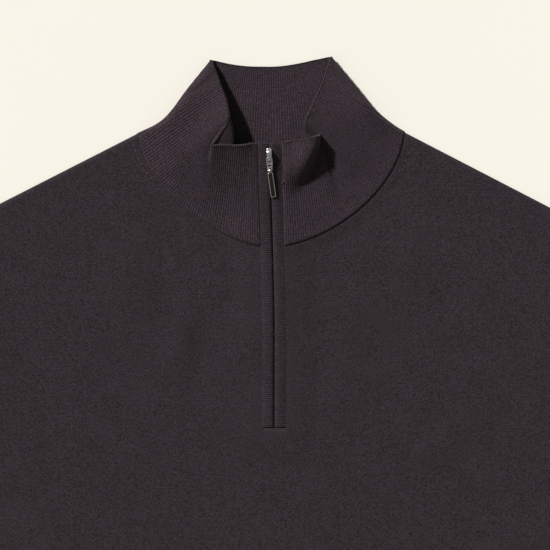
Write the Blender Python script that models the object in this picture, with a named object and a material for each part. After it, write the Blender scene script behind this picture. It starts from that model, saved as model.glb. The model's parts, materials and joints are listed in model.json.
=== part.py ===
"""Quarter zip sweater in fine rib and plain knit, laid flat on its back.

Sizes are millimetres in the garment's own frame: X to the viewer's right, Y up towards the
collar with 0 at the high point of the shoulders, Z up off the table. The objects themselves
are in metres, and an empty carries them so that the origin is under the middle of the garment.
"""
import math

import bpy
import numpy as np
from mathutils import Euler, Vector

MM = 0.001

# ---- body, men's medium ----
BODY_LENGTH = 680.0          # high point of the shoulder to the end of the hem band
HEM_HEIGHT = 60.0
HEM_HALF_WIDTH = 228.0
HEM_TOP_HALF_WIDTH = 245.0   # the body blouses a little over the band
CHEST_HALF_WIDTH = 255.0
UNDERARM_Y = -261.0
SHOULDER_HALF_WIDTH = 225.0
SHOULDER_Y = -64.0
PANEL_WALL = 1.6
SEAM_GAP = 0.3
EDGE_ROLL = 3.0              # width in which the front turns down past the back, at sides and shoulders
EDGE_TOP_DROP = 1.3          # how far its upper and lower faces come down at the very edge
EDGE_UNDER_DROP = 1.5
BACK_INSET = 4.6             # the back ends this far inside the front's edge
UNDERARM_EASE = 0.4          # it comes out to the armhole over this part of the armhole
SHOULDER_START = 1.1         # the front's corner at the neck stands this far out from the collar

# ---- neckline ----
NECK_HALF_WIDTH = 98.6
NECK_POINT_Y = -0.5
FRONT_NECK_Y = -84.4
BACK_NECK_Y = -24.4
NECK_ROUNDNESS_LEFT = 1.63   # exponents of the front neckline's two quarter curves
NECK_ROUNDNESS_RIGHT = 1.70

# ---- collar ----
COLLAR_WALL = 1.7            # under the ribs
COLLAR_RIB_HEIGHT = 0.45
COLLAR_EDGE_LEVEL = 3.9      # height of the middle of its front base edge above the table
NECK_RIBS = 61               # ribs along the front neckline, from the zip to the shoulder
HALF_RIBS = 106              # ribs from the zip to the middle of the back
RIB_PITCH_AT_ZIP = 1.88
RIB_PITCH_AT_SHOULDER = 2.30
CREASE_RIBS = 15             # ribs that start on the back and wrap over the side crease
CREASE_RADIUS_LOW = 1.5      # fold radius at the shoulder and half way up
CREASE_RADIUS_HIGH = 4.2
CREASE_REACH = 15.0          # how far in from the crease its radius lifts the front
CREASE_CLIMB = 1.5           # how the wrapping ribs' crossings climb the crease
CURL_PEAK = 0.8 ** 4 * 0.2   # greatest value of the curl's curve, at 0.8 of a rib
RIM_LIFT_POWER = 1.4

# ---- sleeves ----
SLEEVE_LENGTH = 615.0        # shoulder to the end of the cuff
SHOULDER_FALL = 26.0         # degrees below level of the shoulder
SLEEVE_FALL = 48.0           # and of the sleeve, as laid
SLEEVE_TAPER = 2.0           # degrees more on its outer edge
SLEEVE_TURN = 240.0          # length of outer edge over which the one turns into the other
CUFF_HEIGHT = 60.0
CUFF_WIDTH = 88.0
SLEEVE_END_WIDTH = 96.0
SEAM_REACH = 0.35            # part of the sleeve over which the armhole's curve fades
TUBE_HOLLOW = 0.3            # space between a laid tube's two layers

# ---- zip ----
ZIP_BOTTOM_Y = -217.4
ZIP_SLIT = 0.9
EDGING_WIDTH = 8.0
EDGING_WALL = 2.6
TAPE_HALF_WIDTH = 14.0
TAPE_WALL = 1.0
TAPE_RIBS = 8                # ribs of the collar that lie over the tape's side
TAPE_TAIL = 7.0              # tape below the end of the slot
TAPE_BELOW_EDGE = 2.5        # tape's upper end below the collar's top edge
TAPE_RISE = 12.0             # its sides rise to the collar over this length
TAPE_COLLAR_DROP = 0.5       # it hangs this much lower behind the collar
EDGING_SINK = 0.5            # the edging lies this much lower than the collar beside it

# ---- ribs of the hem band and the cuffs ----
BAND_RIB_PITCH = 2.8
BAND_RIB_HEIGHT = 0.5
BAND_WALL = 1.7

# The right armhole from the underarm to the shoulder.
ARMHOLE = [
    # y,         x
    (UNDERARM_Y, CHEST_HALF_WIDTH),
    (-213.0, 227.0),
    (-150.0, 212.0),
    (SHOULDER_Y, SHOULDER_HALF_WIDTH),
]

# The zip's line from the collar's edge down: it leans a little.
ZIP_LINE = [
    # y,      x
    (-217.4, 2.3),
    (-148.0, 2.4),
    (-78.5, 1.0),
    (-53.0, 0.2),
    (-10.0, -1.5),
]

# The silhouette on each side: along the shoulder, up the collar's side crease, to its peak.
CREASE_LEFT = [
    # x,      y
    (-132.6, -17.0),
    (-108.1, -5.4),
    (-97.4, 0.0),
    (-83.8, 6.2),
    (-78.9, 9.6),
    (-61.5, 32.0),
    (-43.6, 54.0),
]
CREASE_RIGHT = [
    # x,      y
    (140.0, -18.4),
    (110.4, -4.2),
    (99.6, 0.0),
    (87.6, 7.6),
    (76.2, 17.4),
    (60.0, 37.0),
    (43.8, 56.4),
]

# The collar's top edge and the form of its wall, one row for each named rib, counted from the
# zip. rim_x and rim_y: where the top edge lies. lift: how far it stands above its layer.
# belly: extra height half way up. swing: sideways bow of the rib. curl_x and curl_y: how far the
# wall runs past the edge before it rolls back out.
RIM_COLUMNS = ("rib", "rim_x", "rim_y", "lift", "belly", "swing", "curl_x", "curl_y")
RIM_LEFT = [
    (0, -10.4, -7.1, 12.0, -0.5, 0.0, 0.0, 0.0),
    (11, -23.0, -7.9, 11.5, -1.5, 0.8, 0.0, 0.0),
    (19, -33.3, -8.1, 14.5, -1.5, 1.5, 0.0, 0.0),
    (25, -41.3, -8.3, 18.5, -0.5, 3.0, 1.0, 0.0),
    (30, -39.9, -4.4, 20.5, 0.5, 1.5, 5.0, 1.5),
    (37, -34.6, 4.2, 20.0, 1.0, 0.0, 3.5, 1.0),
    (45, -30.8, 11.3, 18.0, 2.0, -0.5, 0.0, 0.0),
    (53, -33.1, 24.1, 13.0, 1.5, 0.0, 0.0, 0.0),
    (61, -37.2, 37.4, 7.5, 1.0, 0.0, 0.0, 0.0),
    (69, -40.5, 47.2, 1.5, 0.3, 0.0, 0.0, 0.0),
    (76, -43.6, 54.0, 0.0, 0.0, 0.0, 0.0, 0.0),
    (91, -23.0, 50.7, 0.0, 0.0, 0.0, 0.0, 0.0),
    (106, 0.0, 50.0, 0.0, 0.0, 0.0, 0.0, 0.0),
]
RIM_RIGHT = [
    (0, 7.6, -6.5, 12.0, -0.5, 0.0, 0.0, 0.0),
    (5, 15.0, -5.6, 9.5, -0.5, 0.0, 0.0, 0.0),
    (12, 24.3, -5.4, 14.0, 0.0, 0.0, 0.0, 0.0),
    (20, 33.4, -2.6, 20.0, 1.5, -1.0, 0.0, 0.0),
    (27, 35.4, -2.2, 7.5, -1.5, 0.0, 0.0, 0.0),
    (33, 31.0, 0.6, 9.0, -1.0, 0.5, 0.0, 0.0),
    (38, 26.6, 4.6, 12.0, 0.0, 0.5, 0.0, 0.0),
    (44, 24.7, 8.6, 14.0, 1.0, 0.0, 0.0, 0.0),
    (52, 29.6, 20.6, 11.0, 1.5, 0.0, 0.0, 0.0),
    (61, 37.4, 37.6, 6.5, 1.0, 0.0, 0.0, 0.0),
    (69, 41.0, 47.8, 1.5, 0.3, 0.0, 0.0, 0.0),
    (76, 43.8, 56.4, 0.0, 0.0, 0.0, 0.0, 0.0),
    (91, 23.4, 53.0, 0.0, 0.0, 0.0, 0.0, 0.0),
    (106, 0.0, 50.0, 0.0, 0.0, 0.0, 0.0, 0.0),
]

# Soft ridges in the laid cloth, one row each, from one end to the other.
FOLD_COLUMNS = ("from_x", "from_y", "to_x", "to_y", "half_width", "height")
FRONT_FOLDS = [
    (-62.0, -112.0, -70.0, -196.0, 11.0, 1.5),
    (-24.0, -128.0, -28.0, -205.0, 13.0, 1.1),
    (52.0, -150.0, 44.0, -236.0, 16.0, 1.2),
    (-96.0, -60.0, -120.0, -170.0, 18.0, 1.2),
    (112.0, -52.0, 96.0, -140.0, 15.0, 1.0),
    (-205.0, -270.0, -120.0, -345.0, 17.0, 2.4),
    (210.0, -280.0, 130.0, -372.0, 19.0, 2.2),
    (-60.0, -330.0, -92.0, -470.0, 22.0, 1.8),
    (70.0, -390.0, 96.0, -540.0, 24.0, 2.0),
    (-190.0, -470.0, -150.0, -600.0, 20.0, 1.6),
    (10.0, -470.0, -6.0, -600.0, 18.0, 1.4),
]
# The same on a sleeve: along is 0 at the armhole and 1 at the cuff, across 0 at its under edge.
SLEEVE_FOLD_COLUMNS = ("from_across", "from_along", "to_across", "to_along", "half_width", "height")
SLEEVE_FOLDS = [
    (0.0, 0.10, 0.55, 0.22, 14.0, 2.2),
    (0.0, 0.46, 0.60, 0.53, 12.0, 2.0),
    (0.9, 0.60, 0.45, 0.56, 11.0, 1.6),
    (0.5, 0.72, 0.65, 0.95, 12.0, 1.3),
]

# ---- hardware ----
SLIDER_TOP_Y = -10.6
SLIDER_LENGTH = 10.0
SLIDER_WIDTH = 4.4
SLIDER_PLATE = 1.2
SLIDER_CORNER = 1.4
SLIDER_TAPER = 0.82          # its lower end's width beside its upper end's
BRIDGE_WIDTH = 1.5
BRIDGE_LENGTH = 7.6
BRIDGE_HEIGHT = 2.4          # above the plate
BRIDGE_BAR = 0.8
LINK_WIRE = 0.8
LINK_CORNER = 1.0
LINK_INNER_CORNER = 0.2
LINK_WIDTH = 4.0
LINK_LENGTH = 10.4
LINK_PIN_FROM_TOP = 7.2      # the slider's top to the pin under its bridge
TAB_WIDTH = 4.0
TAB_LENGTH = 21.6
TAB_THICKNESS = 1.1
TAB_CORNER = 0.6
TAB_LEAN = 8.0               # degrees, its free end to the right
TAB_EYE_RADIUS = 0.9         # inside the curl round the link's lower bar
TAB_EYE_WALL = 0.6
TAB_EYE_WIDTH = 1.4
TAB_EYE_STEPS = 14
LINK_UPPER_GAP = 5.2         # length of the link's upper opening, which the bridge passes through
PULL_CLEARANCE = 0.35

# ---- colours, linear ----
KNIT = (0.036, 0.026, 0.032)
KNIT_RIB = (0.040, 0.030, 0.036)
TAPE_COLOUR = (0.022, 0.017, 0.020)
SILVER = (0.72, 0.71, 0.69)
GUNMETAL = (0.10, 0.095, 0.10)

# ---- mesh density ----
NECK_STEPS = 400             # steps used to measure a curve's length
SIDE_ROWS = 11               # rows of the collar: its folded sides, its front flap, its back
FLAP_ROWS = 7
BACK_ROWS = 4
FLAP_RIBS = 16               # ribs from the zip that count as the flap
CREASE_MARGIN = 4            # ribs past the crease that still get the sides' rows
PLAIN_STEP = 4               # the plain inside has a column per this many ribs at front and back
PLAIN_ROWS = 7
PLAIN_SIDE_ROWS = 9
FRONT_COLUMNS = 8
BODY_ROWS = 10               # rows of the front below the slot, beside it and round the neck
SLOT_ROWS = 4
NECK_ROWS = 15
BACK_NECK_ROWS = 22
NECK_CROWDING = 1.5          # how far those points crowd towards the shoulder
ARMHOLE_STEPS = 12
SLEEVE_RINGS = 11
BAND_INNER_STEPS = 6         # plain columns across the inside of a band, cuff or sleeve
BAND_TURN_STEPS = 3


# ------------------------------------------------------------------ curves and tables

def smooth(value):
    """Ease from 0 to 1."""
    value = np.clip(value, 0.0, 1.0)
    return value * value * (3.0 - 2.0 * value)


def eased_curve(knots, values, at):
    """A curve through the values that never overshoots them."""
    knots = np.asarray(knots, float)
    values = np.asarray(values, float)
    step = np.diff(knots)
    slope = np.diff(values) / step
    tangent = np.zeros(len(knots))
    same_way = slope[:-1] * slope[1:] > 0.0
    before = 2.0 * step[1:] + step[:-1]
    after = step[1:] + 2.0 * step[:-1]
    safe_low = np.where(same_way, slope[:-1], 1.0)
    safe_high = np.where(same_way, slope[1:], 1.0)
    harmonic = (before + after) / (before / safe_low + after / safe_high)
    tangent[1:-1] = np.where(same_way, harmonic, 0.0)
    tangent[0] = slope[0]
    tangent[-1] = slope[-1]
    at = np.clip(at, knots[0], knots[-1])
    span = np.clip(np.searchsorted(knots, at, side="right") - 1, 0, len(step) - 1)
    width = step[span]
    part = (at - knots[span]) / width
    return ((1 + 2 * part) * (1 - part) ** 2 * values[span]
            + part * (1 - part) ** 2 * width * tangent[span]
            + part ** 2 * (3 - 2 * part) * values[span + 1]
            + part ** 2 * (part - 1) * width * tangent[span + 1])


def column(table, names, name):
    return [row[names.index(name)] for row in table]


def even_path(points, count):
    """Points spaced evenly along a smooth path through the given ones, and its length."""
    points = np.asarray(points, float)
    chord = np.concatenate([[0.0], np.cumsum(np.linalg.norm(np.diff(points, axis=0), axis=1))])
    fine = np.linspace(0.0, chord[-1], count * 4)
    path = np.stack([eased_curve(chord, points[:, axis], fine) for axis in (0, 1)], axis=1)
    along = np.concatenate([[0.0], np.cumsum(np.linalg.norm(np.diff(path, axis=0), axis=1))])
    even = np.linspace(0.0, along[-1], count)
    return np.stack([np.interp(even, along, path[:, axis]) for axis in (0, 1)], axis=1), along[-1]


def zip_x(y):
    return eased_curve([row[0] for row in ZIP_LINE], [row[1] for row in ZIP_LINE], y)


# ------------------------------------------------------------------ neckline and crease

def front_neck_curve(side):
    """The front neckline from the zip edging to the shoulder; side is -1 left, 1 right."""
    roundness = NECK_ROUNDNESS_LEFT if side < 0 else NECK_ROUNDNESS_RIGHT
    edge = zip_x(FRONT_NECK_Y) * side + ZIP_SLIT / 2 + EDGING_WIDTH + SEAM_GAP
    depth = NECK_POINT_Y - FRONT_NECK_Y
    first = math.asin((edge / NECK_HALF_WIDTH) ** (roundness / 2))
    turn = np.linspace(first, math.pi / 2, NECK_STEPS)
    x = side * NECK_HALF_WIDTH * np.sin(turn) ** (2 / roundness)
    y = NECK_POINT_Y - depth * np.maximum(np.cos(turn), 0.0) ** (2 / roundness)
    return np.stack([x, y], axis=1)


def back_neck_curve(side):
    """The back neckline from the shoulder to the middle of the back."""
    turn = np.linspace(0.0, math.pi / 2, NECK_STEPS)
    x = side * NECK_HALF_WIDTH * np.cos(turn)
    y = NECK_POINT_Y - (NECK_POINT_Y - BACK_NECK_Y) * np.sin(turn)
    return np.stack([x, y], axis=1)


def measured(curve):
    return np.concatenate([[0.0], np.cumsum(np.linalg.norm(np.diff(curve, axis=0), axis=1))])


class CollarSide:
    """One half of the collar, in plan: its base, its top edge and its side crease."""

    def __init__(self, side, rim_table, crease_points):
        self.side = side
        self.front = front_neck_curve(side)
        self.front_length = measured(self.front)
        self.back = back_neck_curve(side)
        self.back_length = measured(self.back)
        self.ribs = column(rim_table, RIM_COLUMNS, "rib")
        self.table = {name: column(rim_table, RIM_COLUMNS, name) for name in RIM_COLUMNS}
        self.crease, self.crease_length = even_path(crease_points, 160)
        nearest = np.linalg.norm(self.crease - self.front[-1], axis=1)
        self.foot = int(np.argmin(nearest))
        self.front[-1] = self.crease[self.foot]
        self.back[0] = self.crease[self.foot]

    def value(self, name, rib):
        return eased_curve(self.ribs, self.table[name], rib)

    def base(self, rib):
        """Where a rib starts on the neckline."""
        rib = np.asarray(rib, float)
        widen = (RIB_PITCH_AT_SHOULDER - RIB_PITCH_AT_ZIP) / (2 * NECK_RIBS)
        raw = RIB_PITCH_AT_ZIP * rib + widen * rib ** 2
        full = RIB_PITCH_AT_ZIP * NECK_RIBS + widen * NECK_RIBS ** 2
        along_front = raw / full * self.front_length[-1]
        back_part = (rib - NECK_RIBS) / (HALF_RIBS - NECK_RIBS)
        along_back = np.clip(back_part, 0.0, 1.0) * self.back_length[-1]
        on_front = np.stack([np.interp(along_front, self.front_length, self.front[:, axis])
                             for axis in (0, 1)], axis=-1)
        on_back = np.stack([np.interp(along_back, self.back_length, self.back[:, axis])
                            for axis in (0, 1)], axis=-1)
        return np.where((rib <= NECK_RIBS)[..., None], on_front, on_back)

    def crossing(self, rib):
        """The part of a rib that lies on the back before it wraps over the crease."""
        rib = np.asarray(rib, float)
        wrap = np.clip((rib - NECK_RIBS) / CREASE_RIBS, 0.0, 1.0)
        over = self.on_crease(wrap ** CREASE_CLIMB)
        rim = np.stack([self.value("rim_x", rib), self.value("rim_y", rib)], axis=-1)
        below = np.linalg.norm(over - self.base(rib), axis=-1)
        above = np.linalg.norm(rim - over, axis=-1)
        part = below / np.maximum(below + above, 1e-6)
        return np.where(wrap <= 0.0, 0.0, np.where(wrap >= 1.0, 1.0, part))

    def on_crease(self, part):
        """A point of the crease: 0 at the shoulder, 1 at the collar's peak."""
        place = self.foot + part * (len(self.crease) - 1 - self.foot)
        index = np.arange(len(self.crease))
        return np.stack([np.interp(place, index, self.crease[:, axis]) for axis in (0, 1)], axis=-1)

    def to_crease(self, points):
        """How far inside the crease each point lies, the way in from it, and how far up the crease
        that is. Points beyond the crease have a distance below 0."""
        away = points[:, None, :] - self.crease[None, :, :]
        squared = (away ** 2).sum(axis=2)
        index = squared.argmin(axis=1)
        low = np.clip(index - 1, 0, len(self.crease) - 2)
        best = None
        for start in (low, np.clip(index, 0, len(self.crease) - 2)):
            first = self.crease[start]
            edge = self.crease[start + 1] - first
            part = ((points - first) * edge).sum(axis=1) / (edge ** 2).sum(axis=1)
            part = np.clip(part, 0.0, 1.0)
            foot = first + edge * part[:, None]
            gap = np.linalg.norm(points - foot, axis=1)
            across = np.stack([edge[:, 1], -edge[:, 0]], axis=1)
            across /= np.linalg.norm(across, axis=1)[:, None]
            across *= -self.side
            beyond = ((points - foot) * across).sum(axis=1) < 0.0
            signed = np.where(beyond, -gap, gap)
            place = (start + part - self.foot) / (len(self.crease) - 1 - self.foot)
            if best is None:
                best = [signed, across, place]
            else:
                closer = gap < np.abs(best[0])
                best[0] = np.where(closer, signed, best[0])
                best[1] = np.where(closer[:, None], across, best[1])
                best[2] = np.where(closer, place, best[2])
        return best


COLLAR_LEFT = CollarSide(-1, RIM_LEFT, CREASE_LEFT)
COLLAR_RIGHT = CollarSide(1, RIM_RIGHT, CREASE_RIGHT)


def crease_radius(place):
    rise = smooth(place / 0.5)
    return CREASE_RADIUS_LOW + (CREASE_RADIUS_HIGH - CREASE_RADIUS_LOW) * rise


def collar_surface(stations, parts):
    """Middle of the collar's wall. Stations count ribs from the left zip edge right round to the
    right one; parts run from 0 at the seam to 1 at the top edge. Both are arrays of one shape."""
    stations = np.asarray(stations, float)
    parts = np.asarray(parts, float)
    middle = np.zeros(stations.shape + (3,))
    for half in (COLLAR_LEFT, COLLAR_RIGHT):
        chosen = stations <= HALF_RIBS if half.side < 0 else stations > HALF_RIBS
        if not chosen.any():
            continue
        rib = stations[chosen] if half.side < 0 else 2 * HALF_RIBS - stations[chosen]
        middle[chosen] = half_collar(half, rib, parts[chosen])
    return middle


def half_collar(half, rib, part):
    base = half.base(rib)
    rim = np.stack([half.value("rim_x", rib), half.value("rim_y", rib)], axis=1)
    wrap = np.clip((rib - NECK_RIBS) / CREASE_RIBS, 0.0, 1.0)
    crease_point = half.on_crease(wrap ** CREASE_CLIMB)
    crossing = half.crossing(rib)
    on_back = (part < crossing) | (wrap >= 1)
    rise = np.where(on_back, 0.0, (part - crossing) / np.maximum(1.0 - crossing, 1e-6))
    run = np.where(on_back, part / np.maximum(crossing, 1e-6), rise)
    start = np.where(on_back[:, None], base, np.where((wrap > 0)[:, None], crease_point, base))
    end = np.where(on_back[:, None], np.where((wrap < 1)[:, None], crease_point, rim), rim)
    plan = start + (end - start) * run[:, None]
    plan[:, 0] += half.value("swing", rib) * np.sin(math.pi * part)
    curl = part ** 4 * (1.0 - part) / CURL_PEAK
    plan[:, 0] += half.value("curl_x", rib) * curl
    plan[:, 1] += half.value("curl_y", rib) * curl
    signed, inward, place = half.to_crease(plan)
    distance = np.maximum(signed, 0.0)
    radius = crease_radius(place)
    slack = (math.pi / 2 - 1.0) * radius
    wrapping = (wrap > 0) & (wrap < 1)
    far_end = np.abs(np.where(on_back, half.to_crease(base)[0], half.to_crease(rim)[0]))
    spread = (far_end + slack) / np.maximum(far_end, 0.01)
    rolled = np.where(wrapping, np.minimum(distance * spread, distance + slack),
                      np.where(distance < radius,
                               radius * np.arccos(np.clip(1.0 - distance / radius, -1.0, 1.0)),
                               distance + slack))
    angle = np.minimum(rolled / radius, math.pi / 2)
    held = np.where(rolled < radius * math.pi / 2, radius * (1.0 - np.cos(angle)), rolled - slack)
    plan = plan + inward * (held - signed)[:, None]
    near = np.exp(-(held / CREASE_REACH) ** 2)
    local = CREASE_RADIUS_LOW + (radius - CREASE_RADIUS_LOW) * near
    low = COLLAR_WALL / 2 + COLLAR_RIB_HEIGHT
    turn = np.where(on_back, -np.sin(angle), np.sin(angle))
    height = low + local * (1.0 + turn)
    edge_rise = (COLLAR_EDGE_LEVEL - low - 2 * CREASE_RADIUS_LOW) * smooth(angle)
    front = np.where(on_back, 0.0, 1.0)
    lift = (half.value("lift", rib) * rise ** RIM_LIFT_POWER
            + half.value("belly", rib) * np.sin(math.pi * rise))
    near_zip = over_tape(plan[:, 0], plan[:, 1])
    return np.column_stack([plan, height + front * (lift + edge_rise + near_zip)])


def wall_normals(surface, stations, parts, station_step, part_step, low_part=0.0):
    """Unit normals of a wall's middle, pointing out of the collar or band."""
    ahead = surface(stations + station_step, parts)
    behind = surface(stations - station_step, parts)
    above = surface(stations, np.minimum(parts + part_step, 1.0))
    below = surface(stations, np.maximum(parts - part_step, low_part))
    normal = np.cross(above - below, ahead - behind)
    return normal / np.linalg.norm(normal, axis=-1, keepdims=True)


# ------------------------------------------------------------------ the laid body

def over_tape(x, y):
    """How far the cloth rides up over the zip tape."""
    from_zip = np.abs(x - zip_x(y))
    aside = 1.0 - smooth((from_zip - TAPE_HALF_WIDTH) / 22.0)
    below = smooth((y - (ZIP_BOTTOM_Y - TAPE_TAIL - 24.0)) / 22.0)
    return (TAPE_WALL + SEAM_GAP) * aside * below


def ridge_height(x, y, folds):
    """Sum of soft ridges, each a raised line that fades at both ends."""
    total = np.zeros(np.shape(x))
    for row in folds:
        fold = dict(zip(FOLD_COLUMNS, row))
        first = np.array([fold["from_x"], fold["from_y"]])
        along = np.array([fold["to_x"], fold["to_y"]]) - first
        length = np.linalg.norm(along)
        along = along / length
        run = ((x - first[0]) * along[0] + (y - first[1]) * along[1]) / length
        off = (x - first[0]) * along[1] - (y - first[1]) * along[0]
        fade = np.sin(math.pi * np.clip(run, 0.0, 1.0)) ** 2
        total += fold["height"] * fade * np.exp(-(off / fold["half_width"]) ** 2)
    return total


def front_level(x, y):
    """Height of the middle of the front's cloth, away from its rolled edges."""
    resting = PANEL_WALL + SEAM_GAP + PANEL_WALL / 2
    return resting + over_tape(x, y) + ridge_height(x, y, FRONT_FOLDS)


def side_outline(inset, rows):
    """Right side seam and armhole, from the hem up to the shoulder's end, one point per row. The
    front, the back and the sleeve share the armhole's points."""
    hem_y = HEM_HEIGHT - BODY_LENGTH + SEAM_GAP
    outline = []
    for part in np.linspace(0.0, 1.0, rows - ARMHOLE_STEPS):
        swell = HEM_TOP_HALF_WIDTH + (CHEST_HALF_WIDTH - HEM_TOP_HALF_WIDTH) * smooth(part)
        outline.append((swell - inset, hem_y + (UNDERARM_Y - hem_y) * part))
    for part in np.linspace(0.0, 1.0, ARMHOLE_STEPS + 1)[1:]:
        x, y = armhole_point(part)
        outline.append((x - inset * max(0.0, 1.0 - part / UNDERARM_EASE), y))
    return np.array(outline)


def armhole_point(part):
    """Along the armhole: 0 at the underarm, 1 at the shoulder."""
    y = UNDERARM_Y + (SHOULDER_Y - UNDERARM_Y) * part
    return float(eased_curve([row[0] for row in ARMHOLE], [row[1] for row in ARMHOLE], y)), float(y)


def neck_edge(curve, count):
    """A neckline's points moved out to the body's side of the seam, closer together towards the
    shoulder, where the curve turns tightly."""
    along = measured(curve)
    places = along[-1] * (1.0 - np.linspace(1.0, 0.0, count) ** NECK_CROWDING)
    dense = np.linspace(0.0, along[-1], NECK_STEPS)
    path = np.stack([np.interp(dense, along, curve[:, axis]) for axis in (0, 1)], axis=1)
    tangent = np.gradient(path, axis=0)
    normal = np.stack([tangent[:, 1], -tangent[:, 0]], axis=1)
    normal /= np.linalg.norm(normal, axis=1)[:, None]
    down = np.where(normal[:, 1:2] > 0, -1.0, 1.0)
    path = path + normal * down * SEAM_GAP
    return np.stack([np.interp(places, dense, path[:, axis]) for axis in (0, 1)], axis=1)


# ------------------------------------------------------------------ meshes and objects

def make_object(name, points_mm, faces, material):
    mesh = bpy.data.meshes.new(name)
    points = [tuple(float(value) * MM for value in point) for point in points_mm]
    mesh.from_pydata(points, [], [tuple(int(index) for index in face) for face in faces])
    mesh.validate()
    mesh.materials.append(material)
    mesh.shade_smooth()
    mesh.set_sharp_from_angle(angle=math.radians(40))
    made = bpy.data.objects.new(name, mesh)
    bpy.context.collection.objects.link(made)
    return made


def make_material(name, colour, roughness, metallic=0.0):
    material = bpy.data.materials.new(name)
    material.use_nodes = True
    shader = material.node_tree.nodes["Principled BSDF"]
    shader.inputs["Base Color"].default_value = (*colour, 1.0)
    shader.inputs["Roughness"].default_value = roughness
    shader.inputs["Metallic"].default_value = metallic
    return material


def join_rows(first, first_at, second, second_at):
    """Triangles between two rows of vertices, in step with the places given for each."""
    faces = []
    here = 0
    there = 0
    while here < len(first) - 1 or there < len(second) - 1:
        step_first = there == len(second) - 1
        if not step_first and here < len(first) - 1:
            step_first = first_at[here + 1] <= second_at[there + 1]
        if step_first:
            faces.append((first[here], first[here + 1], second[there]))
            here += 1
        else:
            faces.append((first[here], second[there + 1], second[there]))
            there += 1
    return faces


def flip(faces):
    return [tuple(reversed(face)) for face in faces]


def ribbed_wall(name, surface, normals, outer, inner, half_wall, material, period=None,
                mirrored=False):
    """A wall with ribs raised on its outer points over a plain inside.

    outer and inner list columns as (station, rib height, parts, order): parts place the points
    along the column, and order says which points of the next column they are joined to. A tube
    gives the period of its stations."""
    points = []
    layers = []
    for columns, way in ((outer, 1.0), (inner, -1.0)):
        layer = []
        for station, height, parts, order in columns:
            parts = np.asarray(parts, float)
            places = np.full(len(parts), float(station))
            normal = normals(places, parts)
            raised = smooth((normal[:, 2] + 0.45) / 0.5) * height
            moved = surface(places, parts) + normal * (way * (half_wall + raised))[:, None]
            layer.append((station, list(order), list(range(len(points), len(points) + len(parts)))))
            points.extend(moved)
        layers.append(layer)
    faces = []
    for layer, outside in zip(layers, (True, False)):
        pairs = list(zip(layer[:-1], layer[1:]))
        if period:
            pairs.append((layer[-1], layer[0]))
        for left, right in pairs:
            strip = join_rows(left[2], left[1], right[2], right[1])
            faces.extend(strip if outside else flip(strip))
    for end in (0, -1):
        rows = []
        for layer in layers:
            row = [column_[2][end] for column_ in layer]
            at = [column_[0] for column_ in layer]
            if period:
                row.append(row[0])
                at.append(at[0] + period)
            rows.append((row, at))
        strip = join_rows(rows[0][0], rows[0][1], rows[1][0], rows[1][1])
        faces.extend(strip if end == 0 else flip(strip))
    if not period:
        for end in (0, -1):
            outer_end = layers[0][end]
            inner_end = layers[1][end]
            strip = join_rows(outer_end[2], outer_end[1], inner_end[2], inner_end[1])
            faces.extend(flip(strip) if end == 0 else strip)
    if mirrored:
        points = [(-point[0], point[1], point[2]) for point in points]
        faces = flip(faces)
    return make_object(name, points, faces, material)


def panel(name, rows_left, rows_right, top, bottom, material):
    """A body panel from its two halves, each a list of rows of plan points from the middle out.
    Rows are joined from their outer ends, so a row may start further out than the one below."""
    points = []
    known = {}
    faces = []

    def index(x, y):
        key = (round(float(x), 3), round(float(y), 3))
        if key not in known:
            known[key] = len(points)
            points.append((float(x), float(y)))
        return known[key]

    for rows, way in ((rows_left, -1), (rows_right, 1)):
        grid = [[index(*point) for point in row] for row in rows]
        for low, high in zip(grid[:-1], grid[1:]):
            shared = min(len(low), len(high))
            low = low[-shared:]
            high = high[-shared:]
            for near in range(shared - 1):
                face = (low[near], low[near + 1], high[near + 1], high[near])
                faces.append(face if way > 0 else tuple(reversed(face)))
    plan = np.array(points)
    count = len(points)
    edges = set()
    for face in faces:
        edges.update(zip(face, face[1:] + face[:1]))
    walls = [(start, start + count, end + count, end)
             for start, end in sorted(edges) if (end, start) not in edges]
    below = [tuple(place + count for place in reversed(face)) for face in faces]
    return make_object(name, np.vstack([top(plan), bottom(plan)]), faces + below + walls, material)


def swept_bar(name, sections, material):
    """A closed bar through a list of sections, each a ring of points."""
    points = [point for section in sections for point in section]
    around = len(sections[0])
    faces = []
    for row in range(len(sections) - 1):
        for place in range(around):
            after = (place + 1) % around
            faces.append((row * around + place, row * around + after,
                          (row + 1) * around + after, (row + 1) * around + place))
    faces.append(tuple(reversed(range(around))))
    faces.append(tuple(range((len(sections) - 1) * around, len(sections) * around)))
    return make_object(name, points, faces, material)


# ------------------------------------------------------------------ cloth panels

def nearest_gap(plan, path):
    """Distance from each plan point to a path of straight runs."""
    best = np.full(len(plan), np.inf)
    for first, last in zip(path[:-1], path[1:]):
        run = last - first
        part = np.clip(((plan - first) @ run) / (run @ run), 0.0, 1.0)
        best = np.minimum(best, np.linalg.norm(plan - first - part[:, None] * run, axis=1))
    return best


def turned_edge(plan):
    """1 at the front's side and shoulder edges, falling to 0 where their turn begins."""
    side = side_outline(0.0, 2 * ARMHOLE_STEPS)[:ARMHOLE_STEPS]
    shoulder = np.array([(NECK_HALF_WIDTH, NECK_POINT_Y), (SHOULDER_HALF_WIDTH, SHOULDER_Y)])
    mirrored = np.column_stack([np.abs(plan[:, 0]), plan[:, 1]])
    gap = np.minimum(nearest_gap(mirrored, side), nearest_gap(mirrored, shoulder))
    return 1.0 - np.clip(gap / EDGE_ROLL, 0.0, 1.0)


def across_row(first, last, columns, insets=()):
    """Plan points from first to last, evenly spaced, with extra ones at insets from last."""
    length = np.linalg.norm(last - first)
    reach = 1.0 - (max(insets) + 1.0) / length if insets else 1.0
    parts = list(np.linspace(0.0, reach, columns)) + [1.0 - inset / length for inset in insets]
    if insets:
        parts.append(1.0)
    return [tuple(first + (last - first) * part) for part in parts]


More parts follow.
